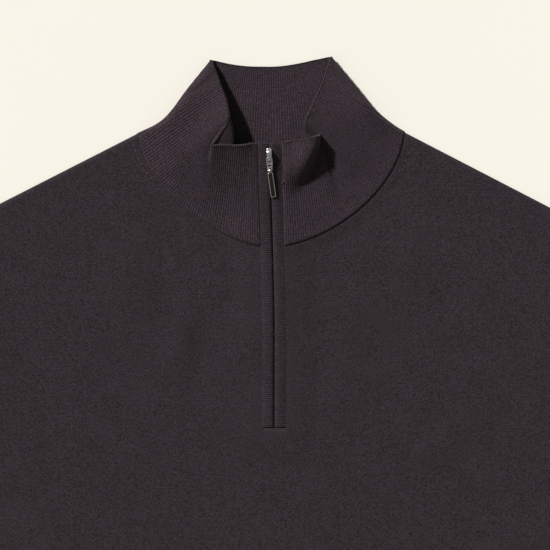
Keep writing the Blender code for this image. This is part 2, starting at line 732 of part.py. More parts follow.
def below_last(outline, drop):
    """The point a little below an outline's last one, on the line to the one before."""
    step = outline[-2] - outline[-1]
    return outline[-1] + step * (drop / -step[1])


def front_rows(side):
    """Rows of the front's half: below the slot from the middle, above it from the slot's edge,
    and from the neckline to the shoulder."""
    hem_y = HEM_HEIGHT - BODY_LENGTH + SEAM_GAP
    foot = ZIP_BOTTOM_Y - SEAM_GAP
    slot = ZIP_SLIT / 2 + EDGING_WIDTH + SEAM_GAP
    neck = neck_edge(front_neck_curve(side), NECK_ROWS)
    neck[0, 0] = zip_x(neck[0, 1]) + side * slot
    neck[-1] = (side * (NECK_HALF_WIDTH + SHOULDER_START), NECK_POINT_Y - SHOULDER_START)
    slot_y = np.linspace(foot, neck[0, 1], SLOT_ROWS)
    low_y = np.linspace(hem_y, foot, BODY_ROWS)
    inner = [(zip_x(y) + side * slot, y) for y in low_y]
    inner += [(zip_x(y) + side * slot, y) for y in slot_y[1:-1]]
    inner += [tuple(point) for point in neck]
    shoulder_run = np.array([SHOULDER_HALF_WIDTH - NECK_HALF_WIDTH, SHOULDER_Y - NECK_POINT_Y])
    down = EDGE_ROLL / (shoulder_run[0] / np.linalg.norm(shoulder_run))
    turn_y = neck[-1][1] - down
    inner[-2] = (float(np.interp(turn_y, neck[-3:, 1], neck[-3:, 0])), turn_y)
    outer = side_outline(0.0, len(inner) - 1)
    outer = np.insert(outer, -1, below_last(outer, down), axis=0)
    outer[:, 0] *= side
    rows = []
    for place, (first, last) in enumerate(zip(inner, outer)):
        row = across_row(np.array(first), last, FRONT_COLUMNS, (EDGE_ROLL,))
        if place < BODY_ROWS:
            row.insert(0, (float(zip_x(first[1])), first[1]))
        rows.append(row)
    return rows


def back_rows(side):
    """Rows of the back's half, which stays inside the front's rolled edges."""
    hem_y = HEM_HEIGHT - BODY_LENGTH + SEAM_GAP
    curve = back_neck_curve(side)[::-1]
    fall = math.atan2(NECK_POINT_Y - SHOULDER_Y, SHOULDER_HALF_WIDTH - NECK_HALF_WIDTH)
    inside = ((NECK_HALF_WIDTH - np.abs(curve[:, 0])) * math.sin(fall)
              + (NECK_POINT_Y - curve[:, 1]) * math.cos(fall))
    neck = neck_edge(curve[inside > BACK_INSET], BACK_NECK_ROWS)
    neck[0] = (0.0, BACK_NECK_Y - SEAM_GAP)
    inner = [(0.0, y) for y in np.linspace(hem_y, neck[0, 1], BODY_ROWS + SLOT_ROWS)[:-1]]
    inner += [tuple(point) for point in neck]
    outer = side_outline(BACK_INSET, len(inner))
    outer[-1] = below_last(outer, BACK_INSET / math.cos(fall))
    outer[:, 0] *= side
    return [across_row(np.array(first), last, 3) for first, last in zip(inner, outer)]


def build_front(material):
    def middle(plan):
        return np.column_stack([plan, front_level(plan[:, 0], plan[:, 1])])

    def top(plan):
        lift = PANEL_WALL / 2 - EDGE_TOP_DROP * turned_edge(plan)
        return middle(plan) + np.outer(lift, (0.0, 0.0, 1.0))

    def bottom(plan):
        drop = PANEL_WALL / 2 + EDGE_UNDER_DROP * turned_edge(plan)
        return middle(plan) - np.outer(drop, (0.0, 0.0, 1.0))

    return panel("front", front_rows(-1), front_rows(1), top, bottom, material)


def build_back(material):
    def top(plan):
        return np.column_stack([plan, np.full(len(plan), PANEL_WALL)])

    def bottom(plan):
        return np.column_stack([plan, np.zeros(len(plan))])

    return panel("back", back_rows(-1), back_rows(1), top, bottom, material)


# ------------------------------------------------------------------ collar

def collar_normals(stations, parts):
    inside = np.clip(stations, 0.06, 2 * HALF_RIBS - 0.06)
    return wall_normals(collar_surface, inside, parts, 0.05, 0.01)


def collar_column(station, height, side_count, flap_count, back_count):
    """One column of the collar. A rib that wraps over the crease has a row of points on it."""
    whole = 2 * HALF_RIBS
    half = COLLAR_LEFT if station <= HALF_RIBS else COLLAR_RIGHT
    rib = station if station <= HALF_RIBS else whole - station
    crossing = float(half.crossing(np.array(rib)))
    if NECK_RIBS < rib < NECK_RIBS + CREASE_RIBS:
        low = max(1, round(crossing * side_count))
        high = max(1, side_count - low)
        parts = np.concatenate([np.linspace(0.0, crossing, low + 1),
                                np.linspace(crossing, 1.0, high + 1)[1:]])
        return station, height, parts, parts
    if rib < FLAP_RIBS:
        count = flap_count
    elif rib < NECK_RIBS + CREASE_RIBS + CREASE_MARGIN:
        count = side_count
    else:
        count = back_count
    parts = np.linspace(0.0, 1.0, count + 1)
    return station, height, parts, parts


def build_collar(material):
    whole = 2 * HALF_RIBS
    outer = []
    for half_rib in range(2 * whole + 1):
        height = COLLAR_RIB_HEIGHT if half_rib % 2 else 0.0
        outer.append(collar_column(half_rib / 2, height, SIDE_ROWS, FLAP_ROWS, BACK_ROWS))
    inner = []
    for station in range(0, whole + 1, 2):
        rib = min(station, whole - station)
        if FLAP_RIBS <= rib <= NECK_RIBS + CREASE_RIBS + CREASE_MARGIN or rib % PLAIN_STEP == 0:
            inner.append(collar_column(station, 0.0, PLAIN_SIDE_ROWS, PLAIN_ROWS, BACK_ROWS))
    return ribbed_wall("collar", collar_surface, collar_normals, outer, inner, COLLAR_WALL / 2,
                       material)


# ------------------------------------------------------------------ laid tubes: sleeves, bands

class LaidTube:
    """A knitted tube pressed flat: two layers joined by a tight turn along each edge.

    first_edge and last_edge give plan points for parts 0 to 1 along the tube; across bends its
    first end to a seam's curve. Stations 0 to 1 cross the top, 1 to 2 turn down, 2 to 3 cross
    the underside and 3 to 4 turn up again."""

    def __init__(self, first_edge, last_edge, wall, seam=None, folds=()):
        self.first_edge = first_edge
        self.last_edge = last_edge
        self.wall = wall
        self.seam = seam
        self.folds = folds
        self.turn = (wall + TUBE_HOLLOW) / 2

    def plan(self, across, part):
        first = self.first_edge(part)
        last = self.last_edge(part)
        point = first + (last - first) * across[:, None]
        if self.seam is not None:
            bend = self.seam(across) - (self.seam(np.zeros(1)) * (1 - across)[:, None]
                                        + self.seam(np.ones(1)) * across[:, None])
            point = point + bend * (1.0 - smooth(part / SEAM_REACH))[:, None]
        return point

    def across_way(self, across, part):
        """Unit direction across the tube, which at the seam follows the seam's curve."""
        ahead = self.plan(np.minimum(across + 0.005, 1.0), part)
        behind = self.plan(np.maximum(across - 0.005, 0.0), part)
        way = ahead - behind
        return way / np.linalg.norm(way, axis=1)[:, None]

    def surface(self, stations, part):
        station = np.mod(stations, 4.0)
        side = np.floor(station).astype(int)
        local = station - side
        across = np.select([side == 0, side == 1, side == 2], [local, 1.0, 1.0 - local], 0.0)
        across = across * np.ones(len(station))
        angle = np.select([side == 1, side == 3], [math.pi / 2 - math.pi * local,
                                                   -math.pi / 2 + math.pi * local], 0.0)
        reach = self.turn * np.cos(angle) - self.wall / 2 - self.turn
        at_first = np.maximum(1.0 - ARMHOLE_STEPS * across, 0.0)
        at_last = np.maximum(1.0 - ARMHOLE_STEPS * (1.0 - across), 0.0)
        level_inset = (at_first - at_last) * (self.wall / 2 + self.turn)
        inset = np.select([side == 1, side == 3], [reach, -reach], level_inset)
        point = self.plan(across, part) + self.across_way(across, part) * inset[:, None]
        centre = self.wall / 2 + self.turn
        height = np.select([side == 0, side == 2], [centre + self.turn, centre - self.turn],
                           centre + self.turn * np.sin(angle))
        for fold in self.folds:
            row = dict(zip(SLEEVE_FOLD_COLUMNS, fold))
            start = self.plan(np.array([row["from_across"]]), np.array([row["from_along"]]))[0]
            end = self.plan(np.array([row["to_across"]]), np.array([row["to_along"]]))[0]
            ridge = ridge_height(point[:, 0], point[:, 1],
                                 [(*start, *end, row["half_width"], row["height"])])
            height = height + np.where(side == 0, ridge * np.sin(math.pi * across), 0.0)
        return np.column_stack([point, height])

    def normals(self, stations, part):
        centre = self.surface(stations, part)
        ahead = self.surface(stations + 0.01, part)
        behind = self.surface(stations - 0.01, part)
        above = self.surface(stations, np.minimum(part + 0.01, 1.0))
        below = self.surface(stations, np.maximum(part - 0.01, 0.0))
        normal = np.cross(above - below, ahead - behind)
        normal = normal / np.linalg.norm(normal, axis=1)[:, None]
        corner = np.abs(np.mod(stations, 4.0) - np.round(np.mod(stations, 4.0))) < 1e-6
        flat = np.where(centre[:, 2] > self.wall / 2 + self.turn, 1.0, -1.0)
        normal[corner] = np.column_stack([np.zeros(len(flat)), np.zeros(len(flat)), flat])[corner]
        if self.seam is not None:
            self.face_seam(normal, stations, part)
        return normal

    def face_seam(self, normal, stations, part):
        """Turn the edges' normals into the seam's plane at the seam itself."""
        local = np.mod(stations, 2.0) - 1.0
        turning = (local > 0.0) & (part <= 0.0)
        last = np.mod(stations, 4.0) < 2.0
        angle = np.where(last, 0.5 - local, local - 0.5) * math.pi
        across = np.where(last, 1.0, 0.0)
        way = self.across_way(across, part) * np.where(last, 1.0, -1.0)[:, None]
        turned = np.column_stack([way * np.cos(angle)[:, None], np.sin(angle)])
        normal[turning] = turned[turning]


def tube_columns(top_steps, under_steps, rib_height, parts):
    """Columns round a laid tube: across the top, round each turn and across the underside. With
    a rib height, every second column on top is raised."""
    columns = []
    for step in range(top_steps):
        columns.append((step / top_steps, rib_height * (step % 2), parts, parts))
    for step in range(under_steps):
        columns.append((2.0 + step / under_steps, 0.0, parts, parts))
    for start in (1.0, 3.0):
        for step in range(BAND_TURN_STEPS):
            columns.append((start + step / BAND_TURN_STEPS, 0.0, parts, parts))
    return sorted(columns, key=lambda column_: column_[0])


def ribbed_tube(name, tube, width, material, mirrored=False):
    """A band or cuff: ribs on its upper face, plain inside and below."""
    ends = np.array([0.0, 1.0])
    outer = tube_columns(2 * round(width / BAND_RIB_PITCH), BAND_INNER_STEPS, BAND_RIB_HEIGHT, ends)
    inner = tube_columns(BAND_INNER_STEPS, BAND_INNER_STEPS, 0.0, ends)
    return ribbed_wall(name, tube.surface, tube.normals, outer, inner, BAND_WALL / 2, material,
                       period=4.0, mirrored=mirrored)


def heading(fall):
    """Unit plan direction that falls outwards on the right side."""
    return np.array([math.cos(math.radians(fall)), -math.sin(math.radians(fall))])


def sleeve_outer_edge():
    """Outer edge of the right sleeve: it leaves along the shoulder and turns down."""
    length = SLEEVE_LENGTH - CUFF_HEIGHT
    run = np.linspace(0.0, length, 120)
    fall = SHOULDER_FALL + (SLEEVE_FALL + SLEEVE_TAPER - SHOULDER_FALL) * smooth(run / SLEEVE_TURN)
    step = length / (len(run) - 1)
    moves = np.stack([np.cos(np.radians(fall)), -np.sin(np.radians(fall))], axis=1) * step
    start = np.array([SHOULDER_HALF_WIDTH + SEAM_GAP, SHOULDER_Y])
    return run / length, start + np.vstack([[0.0, 0.0], np.cumsum(moves[1:], axis=0)])


def sleeve_tube():
    parts, outer = sleeve_outer_edge()
    across = np.array([math.sin(math.radians(SLEEVE_FALL)), math.cos(math.radians(SLEEVE_FALL))])
    wrist = outer[-1] - across * SLEEVE_END_WIDTH
    underarm = np.array([CHEST_HALF_WIDTH + SEAM_GAP, UNDERARM_Y])

    def outer_edge(part):
        return np.stack([np.interp(part, parts, outer[:, axis]) for axis in (0, 1)], axis=1)

    def under_edge(part):
        return underarm + (wrist - underarm) * part[:, None]

    def armhole(across_part):
        points = np.array([armhole_point(float(value)) for value in across_part])
        return points + (SEAM_GAP, 0.0)

    return LaidTube(under_edge, outer_edge, PANEL_WALL, armhole, SLEEVE_FOLDS)


def build_sleeve(name, material, mirrored):
    tube = sleeve_tube()
    rings = np.linspace(0.0, 1.0, SLEEVE_RINGS)
    outer = tube_columns(ARMHOLE_STEPS, ARMHOLE_STEPS, 0.0, rings)
    inner = tube_columns(BAND_INNER_STEPS, BAND_INNER_STEPS, 0.0, rings)
    return ribbed_wall(name, tube.surface, tube.normals, outer, inner, PANEL_WALL / 2, material,
                       period=4.0, mirrored=mirrored)


def cuff_tube():
    parts, outer = sleeve_outer_edge()
    across = np.array([math.sin(math.radians(SLEEVE_FALL)), math.cos(math.radians(SLEEVE_FALL))])
    along = heading(SLEEVE_FALL)
    draw_in = (SLEEVE_END_WIDTH - CUFF_WIDTH) / 2
    start_outer = outer[-1] + along * SEAM_GAP - across * draw_in

    def outer_edge(part):
        return start_outer + along * ((CUFF_HEIGHT - SEAM_GAP) * part)[:, None]

    def under_edge(part):
        return outer_edge(part) - across * CUFF_WIDTH

    return LaidTube(under_edge, outer_edge, BAND_WALL)


def hem_tube():
    top = HEM_HEIGHT - BODY_LENGTH

    def edge(side):
        def run(part):
            x = side * (HEM_HALF_WIDTH + 3.0 * (1.0 - part))
            return np.column_stack([x, top - HEM_HEIGHT * part])
        return run

    return LaidTube(edge(-1), edge(1), BAND_WALL)


# ------------------------------------------------------------------ zip

def zip_level(y):
    """Height of the middle of the cloth beside the zip, up the front and up the collar."""
    y = np.asarray(y, float)
    parts = np.linspace(0.0, 1.0, 60)
    edge = collar_surface(np.zeros(60), parts)
    on_front = PANEL_WALL + SEAM_GAP + PANEL_WALL / 2 + TAPE_WALL + SEAM_GAP
    on_collar = np.interp(y, edge[:, 1], edge[:, 2]) - EDGING_SINK
    blend = smooth((y - (FRONT_NECK_Y - 8.0)) / 16.0)
    return on_front + (on_collar - on_front) * blend


def zip_top_y():
    return float(collar_surface(np.zeros(1), np.ones(1))[0, 1])


def edging_section(y, side):
    """Ring of points round one edging strip at a height y, with rounded upper corners."""
    inner = ZIP_SLIT / 2
    outer = inner + EDGING_WIDTH
    low = float(zip_level(y)) - PANEL_WALL / 2
    high = low + EDGING_WALL
    centre = float(zip_x(y))
    profile = [(inner, low), (outer, low), (outer, high - 0.9), (outer - 0.9, high),
               (inner + 0.6, high), (inner, high - 0.6)]
    ring = [(centre + side * across, y, height) for across, height in profile]
    return ring if side > 0 else ring[::-1]


def zip_stations(low, high):
    body = np.linspace(low, FRONT_NECK_Y - 8.0, 7)
    collar = np.linspace(FRONT_NECK_Y - 8.0, high, 10)[1:]
    return list(body) + list(collar)


def build_edging(name, side, material):
    sections = [edging_section(y, side) for y in zip_stations(ZIP_BOTTOM_Y, zip_top_y())]
    return swept_bar(name, [section[::-1] for section in sections], material)


def collar_level(x, y, side):
    """Height of the middle of the collar's wall over a plan point near the zip."""
    parts = np.linspace(0.0, 1.0, 60)
    across = []
    heights = []
    for rib in range(TAPE_RIBS + 1):
        station = rib if side < 0 else 2 * HALF_RIBS - rib
        wall = collar_surface(np.full(60, float(station)), parts)
        across.append(abs(float(np.interp(y, wall[:, 1], wall[:, 0])) - x))
        heights.append(float(np.interp(y, wall[:, 1], wall[:, 2])))
    return heights[int(np.argmin(across))]


def build_tape(material):
    """The zip's tape: flat behind the edging, its sides following the cloth that hides them."""
    sections = []
    flat = ZIP_SLIT / 2 + EDGING_WIDTH + SEAM_GAP
    under_front = PANEL_WALL + SEAM_GAP + TAPE_WALL
    for y in zip_stations(ZIP_BOTTOM_Y - TAPE_TAIL, zip_top_y() - TAPE_BELOW_EDGE):
        on_collar = float(smooth((y - (FRONT_NECK_Y - 8.0)) / 16.0))
        high = float(zip_level(y)) - PANEL_WALL / 2 - SEAM_GAP - TAPE_COLLAR_DROP * on_collar
        centre = float(zip_x(y))
        top = [(centre - flat, high), (centre + flat, high)]
        for side in (-1, 1):
            x = centre + side * TAPE_HALF_WIDTH
            under = collar_level(x, y, side) - COLLAR_WALL / 2 - SEAM_GAP - TAPE_COLLAR_DROP
            rising = float(smooth((y - FRONT_NECK_Y) / TAPE_RISE))
            flank = (x, under_front + (min(under, high) - under_front) * rising)
            top.insert(0 if side < 0 else len(top), flank)
        ring = [(x, y, z) for x, z in top] + [(x, y, z - TAPE_WALL) for x, z in reversed(top)]
        sections.append(ring)
    return swept_bar("zip_tape", sections, material)


# ------------------------------------------------------------------ hardware

def prism(name, profile, half_width, axis, material):
    """A closed profile drawn out both ways along an axis."""
    count = len(profile)
    points = []
    for depth in (-half_width, half_width):
        for first, second in profile:
            points.append((depth, first, second) if axis == "x" else (first, second, depth))
    faces = [tuple(reversed(range(count))), tuple(range(count, 2 * count))]
    for place in range(count):
        after = (place + 1) % count
        faces.append((place, after, after + count, place + count))
    return make_object(name, points, faces, material)


def rounded_outline(width, length, corner, top=0.0, steps=4):
    """Outline of a plate from its top end at y = top down to top - length."""
    outline = []
    centres = [(width / 2 - corner, top - corner, 0), (-width / 2 + corner, top - corner, 90),
               (-width / 2 + corner, top - length + corner, 180),
               (width / 2 - corner, top - length + corner, 270)]
    for x, y, start in centres:
        for step in range(steps + 1):
            angle = math.radians(start + 90 * step / steps)
            outline.append((x + corner * math.cos(angle), y + corner * math.sin(angle)))
    return outline


def join_into(target, other):
    """Union of two solids, kept as one object."""
    modifier = target.modifiers.new("union", "BOOLEAN")
    modifier.operation = "UNION"
    modifier.object = other
    other.hide_render = True
    other.display_type = "WIRE"


def cut_from(target, cutter):
    modifier = target.modifiers.new("cut", "BOOLEAN")
    modifier.operation = "DIFFERENCE"
    modifier.object = cutter
    cutter.hide_render = True
    cutter.display_type = "WIRE"


def arch_profile():
    """Side view of the slider's bridge, from its top foot over to its bottom foot."""
    half = BRIDGE_LENGTH / 2
    sink = 0.4
    outer = [(half, -sink), (half, BRIDGE_HEIGHT * 0.6), (half - 0.5, BRIDGE_HEIGHT * 0.9),
             (half - 1.2, BRIDGE_HEIGHT), (-half + 1.2, BRIDGE_HEIGHT),
             (-half + 0.5, BRIDGE_HEIGHT * 0.9), (-half, BRIDGE_HEIGHT * 0.6), (-half, -sink)]
    inner_top = BRIDGE_HEIGHT - BRIDGE_BAR
    inner = [(-half + BRIDGE_BAR, -sink), (-half + BRIDGE_BAR, inner_top - 0.3),
             (-half + BRIDGE_BAR + 0.4, inner_top), (half - BRIDGE_BAR - 0.4, inner_top),
             (half - BRIDGE_BAR, inner_top - 0.3), (half - BRIDGE_BAR, -sink)]
    return outer + inner


class PullPlaces:
    """Where the slider sits and where the link and the tab hang, in the garment's frame."""

    def __init__(self):
        mid_y = SLIDER_TOP_Y - SLIDER_LENGTH / 2
        above = PANEL_WALL / 2
        strip_top = EDGING_WALL - above + PULL_CLEARANCE
        rise = float(zip_level(mid_y + 3.0) - zip_level(mid_y - 3.0)) / 6.0
        self.slope = math.atan(rise)
        self.lean = -math.atan2(float(zip_x(mid_y + 3.0) - zip_x(mid_y - 3.0)), 6.0)
        self.slider = np.array([float(zip_x(mid_y)), mid_y, float(zip_level(mid_y)) + strip_top])
        turn = Euler((self.slope, 0.0, self.lean)).to_matrix()
        up_slope = np.array(turn @ Vector((0.0, 1.0, 0.0)))
        normal = np.array(turn @ Vector((0.0, 0.0, 1.0)))
        pin_height = SLIDER_PLATE + PULL_CLEARANCE + LINK_WIRE / 2
        pin_along = SLIDER_LENGTH / 2 - LINK_PIN_FROM_TOP
        self.pin = self.slider + up_slope * pin_along + normal * pin_height
        reach = LINK_LENGTH - LINK_WIRE
        self.bar = self.pin - up_slope * reach
        end_y = self.bar[1] - TAB_LENGTH + TAB_EYE_RADIUS + TAB_EYE_WALL
        rest = float(zip_level(end_y)) + strip_top + TAB_THICKNESS / 2
        self.tab_slope = math.atan2(self.bar[2] - rest, self.bar[1] - end_y)


def place(thing, at, slope, lean):
    thing.rotation_mode = "XYZ"
    thing.rotation_euler = (slope, 0.0, lean)
    thing.location = tuple(float(value) * MM for value in at)


def build_slider(places, material):
    plate = prism("zip_slider", rounded_outline(SLIDER_WIDTH, SLIDER_LENGTH, SLIDER_CORNER,
                                                top=SLIDER_LENGTH / 2), SLIDER_PLATE / 2, "z",
                  material)
    for vertex in plate.data.vertices:
        vertex.co.z += SLIDER_PLATE / 2 * MM
        if vertex.co.y < 0:
            vertex.co.x *= SLIDER_TAPER
    bridge = prism("slider_bridge", arch_profile(), BRIDGE_WIDTH / 2, "x", material)
    for vertex in bridge.data.vertices:
        vertex.co.z += SLIDER_PLATE * MM
    bridge.parent = plate
    join_into(plate, bridge)
    place(plate, places.slider, places.slope, places.lean)
    return plate


def build_link(places, material):
    """A ring with a bar across it, its origin on the pin under the slider's bridge."""
    top = LINK_WIRE / 2
    link = prism("zip_pull_link", rounded_outline(LINK_WIDTH, LINK_LENGTH, LINK_CORNER, top=top),
                 LINK_WIRE / 2, "z", material)
    openings = ((-LINK_WIRE / 2, LINK_UPPER_GAP),
                (-LINK_WIRE / 2 - LINK_UPPER_GAP - LINK_WIRE,
                 LINK_LENGTH - LINK_UPPER_GAP - 3 * LINK_WIRE))
    for number, (start, length) in enumerate(openings):
        outline = rounded_outline(LINK_WIDTH - 2 * LINK_WIRE, length, LINK_INNER_CORNER, top=start)
        cutter = prism(f"link_opening_{number}", outline, LINK_WIRE, "z", material)
        cutter.parent = link
        cut_from(link, cutter)
    place(link, places.pin, places.slope, places.lean)
    return link


def build_tab(places, material):
    """The bar pull, its origin on the link's lower bar, which the eye at its top holds."""
    shell = TAB_EYE_RADIUS + TAB_EYE_WALL
    outline = []
    hole = []
    for step in range(TAB_EYE_STEPS):
        angle = 2 * math.pi * step / TAB_EYE_STEPS
        outline.append((shell * math.cos(angle), shell * math.sin(angle)))
        hole.append((TAB_EYE_RADIUS * math.cos(angle), TAB_EYE_RADIUS * math.sin(angle)))
    tab = prism("zip_pull_tab", outline, TAB_EYE_WIDTH / 2, "x", material)
    start = TAB_EYE_RADIUS + TAB_EYE_WALL / 2
    plate = prism("tab_plate", rounded_outline(TAB_WIDTH, TAB_LENGTH - start - shell,
                                               TAB_CORNER, top=-start),
                  TAB_THICKNESS / 2, "z", material)
    cutter = prism("tab_eye_hole", hole, TAB_WIDTH, "x", material)
    plate.parent = tab
    cutter.parent = tab
    join_into(tab, plate)
    cut_from(tab, cutter)
    place(tab, places.bar, places.tab_slope, math.radians(TAB_LEAN))
    return tab


# ------------------------------------------------------------------ the whole garment

def stand_on_origin(things):
    """Carry every piece on one empty, so that the origin is under the garment's middle."""
    bpy.context.view_layer.update()
    corners = [thing.matrix_world @ vertex.co for thing in things for vertex in thing.data.vertices]
    middle_x = (min(corner.x for corner in corners) + max(corner.x for corner in corners)) / 2
    middle_y = (min(corner.y for corner in corners) + max(corner.y for corner in corners)) / 2
    low = min(corner.z for corner in corners)
    carrier = bpy.data.objects.new("garment", None)
    bpy.context.collection.objects.link(carrier)
    for thing in things:
        thing.parent = carrier
    carrier.location = (-middle_x, -middle_y, -low)
    return carrier


def main():
    for old in list(bpy.data.objects):
        bpy.data.objects.remove(old)
    knit = make_material("plain_knit", KNIT, 0.85)
    rib = make_material("rib_knit", KNIT_RIB, 0.88)
    edging = make_material("edging_knit", KNIT_RIB, 0.85)
    tape = make_material("zip_tape", TAPE_COLOUR, 0.8)
    silver = make_material("silver_metal", SILVER, 0.25, 1.0)
    gunmetal = make_material("gunmetal", GUNMETAL, 0.3, 1.0)
    places = PullPlaces()
    cuff = cuff_tube()
    things = [
        build_back(knit),
        build_front(knit),
        build_collar(rib),
        build_sleeve("sleeve_right", knit, mirrored=False),
        build_sleeve("sleeve_left", knit, mirrored=True),
        ribbed_tube("cuff_right", cuff, CUFF_WIDTH, rib),
        ribbed_tube("cuff_left", cuff, CUFF_WIDTH, rib, mirrored=True),
        ribbed_tube("hem_band", hem_tube(), 2 * HEM_HALF_WIDTH, rib),
        build_edging("zip_edging_left", -1, edging),
        build_edging("zip_edging_right", 1, edging),
        build_tape(tape),
        build_slider(places, silver),
        build_link(places, silver),
        build_tab(places, gunmetal),
    ]
    stand_on_origin(things)


main()
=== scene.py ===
"""Quarter zip sweater laid flat: its knit, ribs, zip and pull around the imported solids.

Sizes are millimetres in the garment's own frame, as a maker measures it: X to the viewer's
right, Y up towards the collar with 0 at the high point of the shoulders, Z up off the table.
"""
import json
import math

import bpy
import numpy as np
from mathutils import Matrix, Vector


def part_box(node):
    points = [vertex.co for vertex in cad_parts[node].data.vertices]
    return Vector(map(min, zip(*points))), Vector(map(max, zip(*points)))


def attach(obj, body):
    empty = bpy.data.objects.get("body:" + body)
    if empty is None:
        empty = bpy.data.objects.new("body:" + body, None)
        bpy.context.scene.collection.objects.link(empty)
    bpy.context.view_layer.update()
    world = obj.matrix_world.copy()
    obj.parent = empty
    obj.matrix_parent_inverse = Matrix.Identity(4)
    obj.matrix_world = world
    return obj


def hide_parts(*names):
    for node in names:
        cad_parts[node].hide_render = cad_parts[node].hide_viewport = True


MM = 0.001

# ---- body ----
BODY_LENGTH = 680.0
HEM_HEIGHT = 60.0
HEM_HALF_WIDTH = 228.0
HEM_TOP_HALF_WIDTH = 245.0
HEM_FLARE = 3.0
CHEST_HALF_WIDTH = 255.0
UNDERARM_Y = -261.0
SHOULDER_HALF_WIDTH = 225.0
SHOULDER_Y = -64.0
PANEL_WALL = 1.6
SEAM_GAP = 0.3
FRONT_MIDDLE = PANEL_WALL + SEAM_GAP + PANEL_WALL / 2
HEM_SEAM_Y = HEM_HEIGHT - BODY_LENGTH + SEAM_GAP
EDGE_ROLL = 3.0
EDGE_DROP = 1.5
BACK_INSET = 4.6
UNDERARM_EASE = 0.4
SHOULDER_START = 0.3
SHOULDER_RISE = (0.7, 1.7)   # the left and the right shoulder line, beside the neckline

# ---- neckline ----
NECK_HALF_WIDTH = 98.6
NECK_POINT_Y = -0.5
FRONT_NECK_Y = -84.4
BACK_NECK_Y = -24.4
NECK_ROUNDNESS_LEFT = 1.63
NECK_ROUNDNESS_RIGHT = 1.70
NECK_STEPS = 400
NECK_CROWDING = 1.5

NECK_GAP = 0.08
NECK_OVERLAP = 0.4           # the left side meets the collar without a groove,
NECK_OVERLAP_FROM = 25.0     # from this far off the middle on, and fully over as much again
NECK_RISE = 0.8              # how far the front rises to the collar's seam
NECK_RISE_REACH = 9.0

# ---- collar ----
COLLAR_WALL = 1.7
COLLAR_RIB_HEIGHT = 0.45
COLLAR_CORNER = 0.8          # how round the wall ends at the seam
COLLAR_RIM = 1.0             # and at the top edge
COLLAR_EDGE_LEVEL = 3.9
NECK_RIBS = 61
HALF_RIBS = 106
RIB_PITCH_AT_ZIP = 1.88
RIB_PITCH_AT_SHOULDER = 2.30
CREASE_RIBS = 15
CREASE_RADIUS_LOW = 1.5
CREASE_RADIUS_HIGH = 4.2
CREASE_WIDENS = 0.5          # the share of the crease over which it grows to that radius
CREASE_REACH = 15.0
CREASE_CLIMB = 1.5
CURL_POWER = 9
CURL_PEAK = 0.9 ** CURL_POWER * 0.1
WRAP_FADE = (46.0, 9.0)      # ribs over which the even wrap round the crease fades in and out
CREASE_SOFTENING = 9         # points over which a side crease's bends are evened out
LOW_SHARE = 0.25             # below this share of a rib the even wrap is left out,
LOW_RIBS = (58.0, 3.0)       # up to the ribs where it sets in from the seam
LEAST_REACH = 0.01
RIM_LIFT_POWER = 1.4
TINY = 1e-6

# ---- sleeves ----
SLEEVE_LENGTH = 615.0
SHOULDER_FALL = 26.0
SLEEVE_FALL = 48.0
SLEEVE_TAPER = 2.0
SLEEVE_TURN = 240.0
CUFF_HEIGHT = 60.0
CUFF_WIDTH = 88.0
SLEEVE_END_WIDTH = 96.0
SEAM_REACH = 0.35
TUBE_HOLLOW = 0.3
ARMHOLE_STEPS = 12
ACROSS_STEP = 0.005

# ---- zip ----
ZIP_BOTTOM_Y = -217.4
ZIP_SLIT = 0.9
EDGING_WIDTH = 8.0
EDGING_WALL = 2.6
SLOT_HALF_WIDTH = ZIP_SLIT / 2 + EDGING_WIDTH + SEAM_GAP
TAPE_HALF_WIDTH = 14.0
TAPE_WALL = 1.0
TAPE_RIBS = 8
TAPE_TAIL = 7.0
TAPE_BELOW_EDGE = 2.5
TAPE_RISE = 12.0
TAPE_COLLAR_DROP = 0.5
TAPE_FADE = 22.0             # the cloth comes down beside the tape over this length
TAPE_FADE_BELOW = 24.0
COLLAR_STARTS_Y = FRONT_NECK_Y - 8.0
COLLAR_BLEND = 16.0
EDGING_SINK = 0.5
BAND_WALL = 1.7

ARMHOLE = [
    # y,         x
    (UNDERARM_Y, CHEST_HALF_WIDTH),
    (-213.0, 227.0),
    (-150.0, 212.0),
    (SHOULDER_Y, SHOULDER_HALF_WIDTH),
]
ZIP_LINE = [
    # y,      x
    (-217.4, 2.3),
    (-148.0, 2.4),
    (-78.5, 1.0),
    (-53.0, 0.2),
    (-10.0, -1.5),
]
CREASE_LEFT = [
    # x,      y
    (-132.6, -17.0),
    (-108.1, -5.4),
    (-97.4, 0.0),
    (-83.8, 6.2),
    (-78.9, 9.6),
    (-61.5, 32.0),
    (-43.6, 54.0),
]
CREASE_RIGHT = [
    # x,      y
    (140.0, -18.4),
    (110.4, -4.2),
    (99.6, 0.0),
    (87.6, 7.6),
    (76.2, 17.4),
    (60.0, 37.0),
    (43.8, 56.4),
]
RIM_COLUMNS = ("rib", "rim_x", "rim_y", "lift", "belly", "swing")
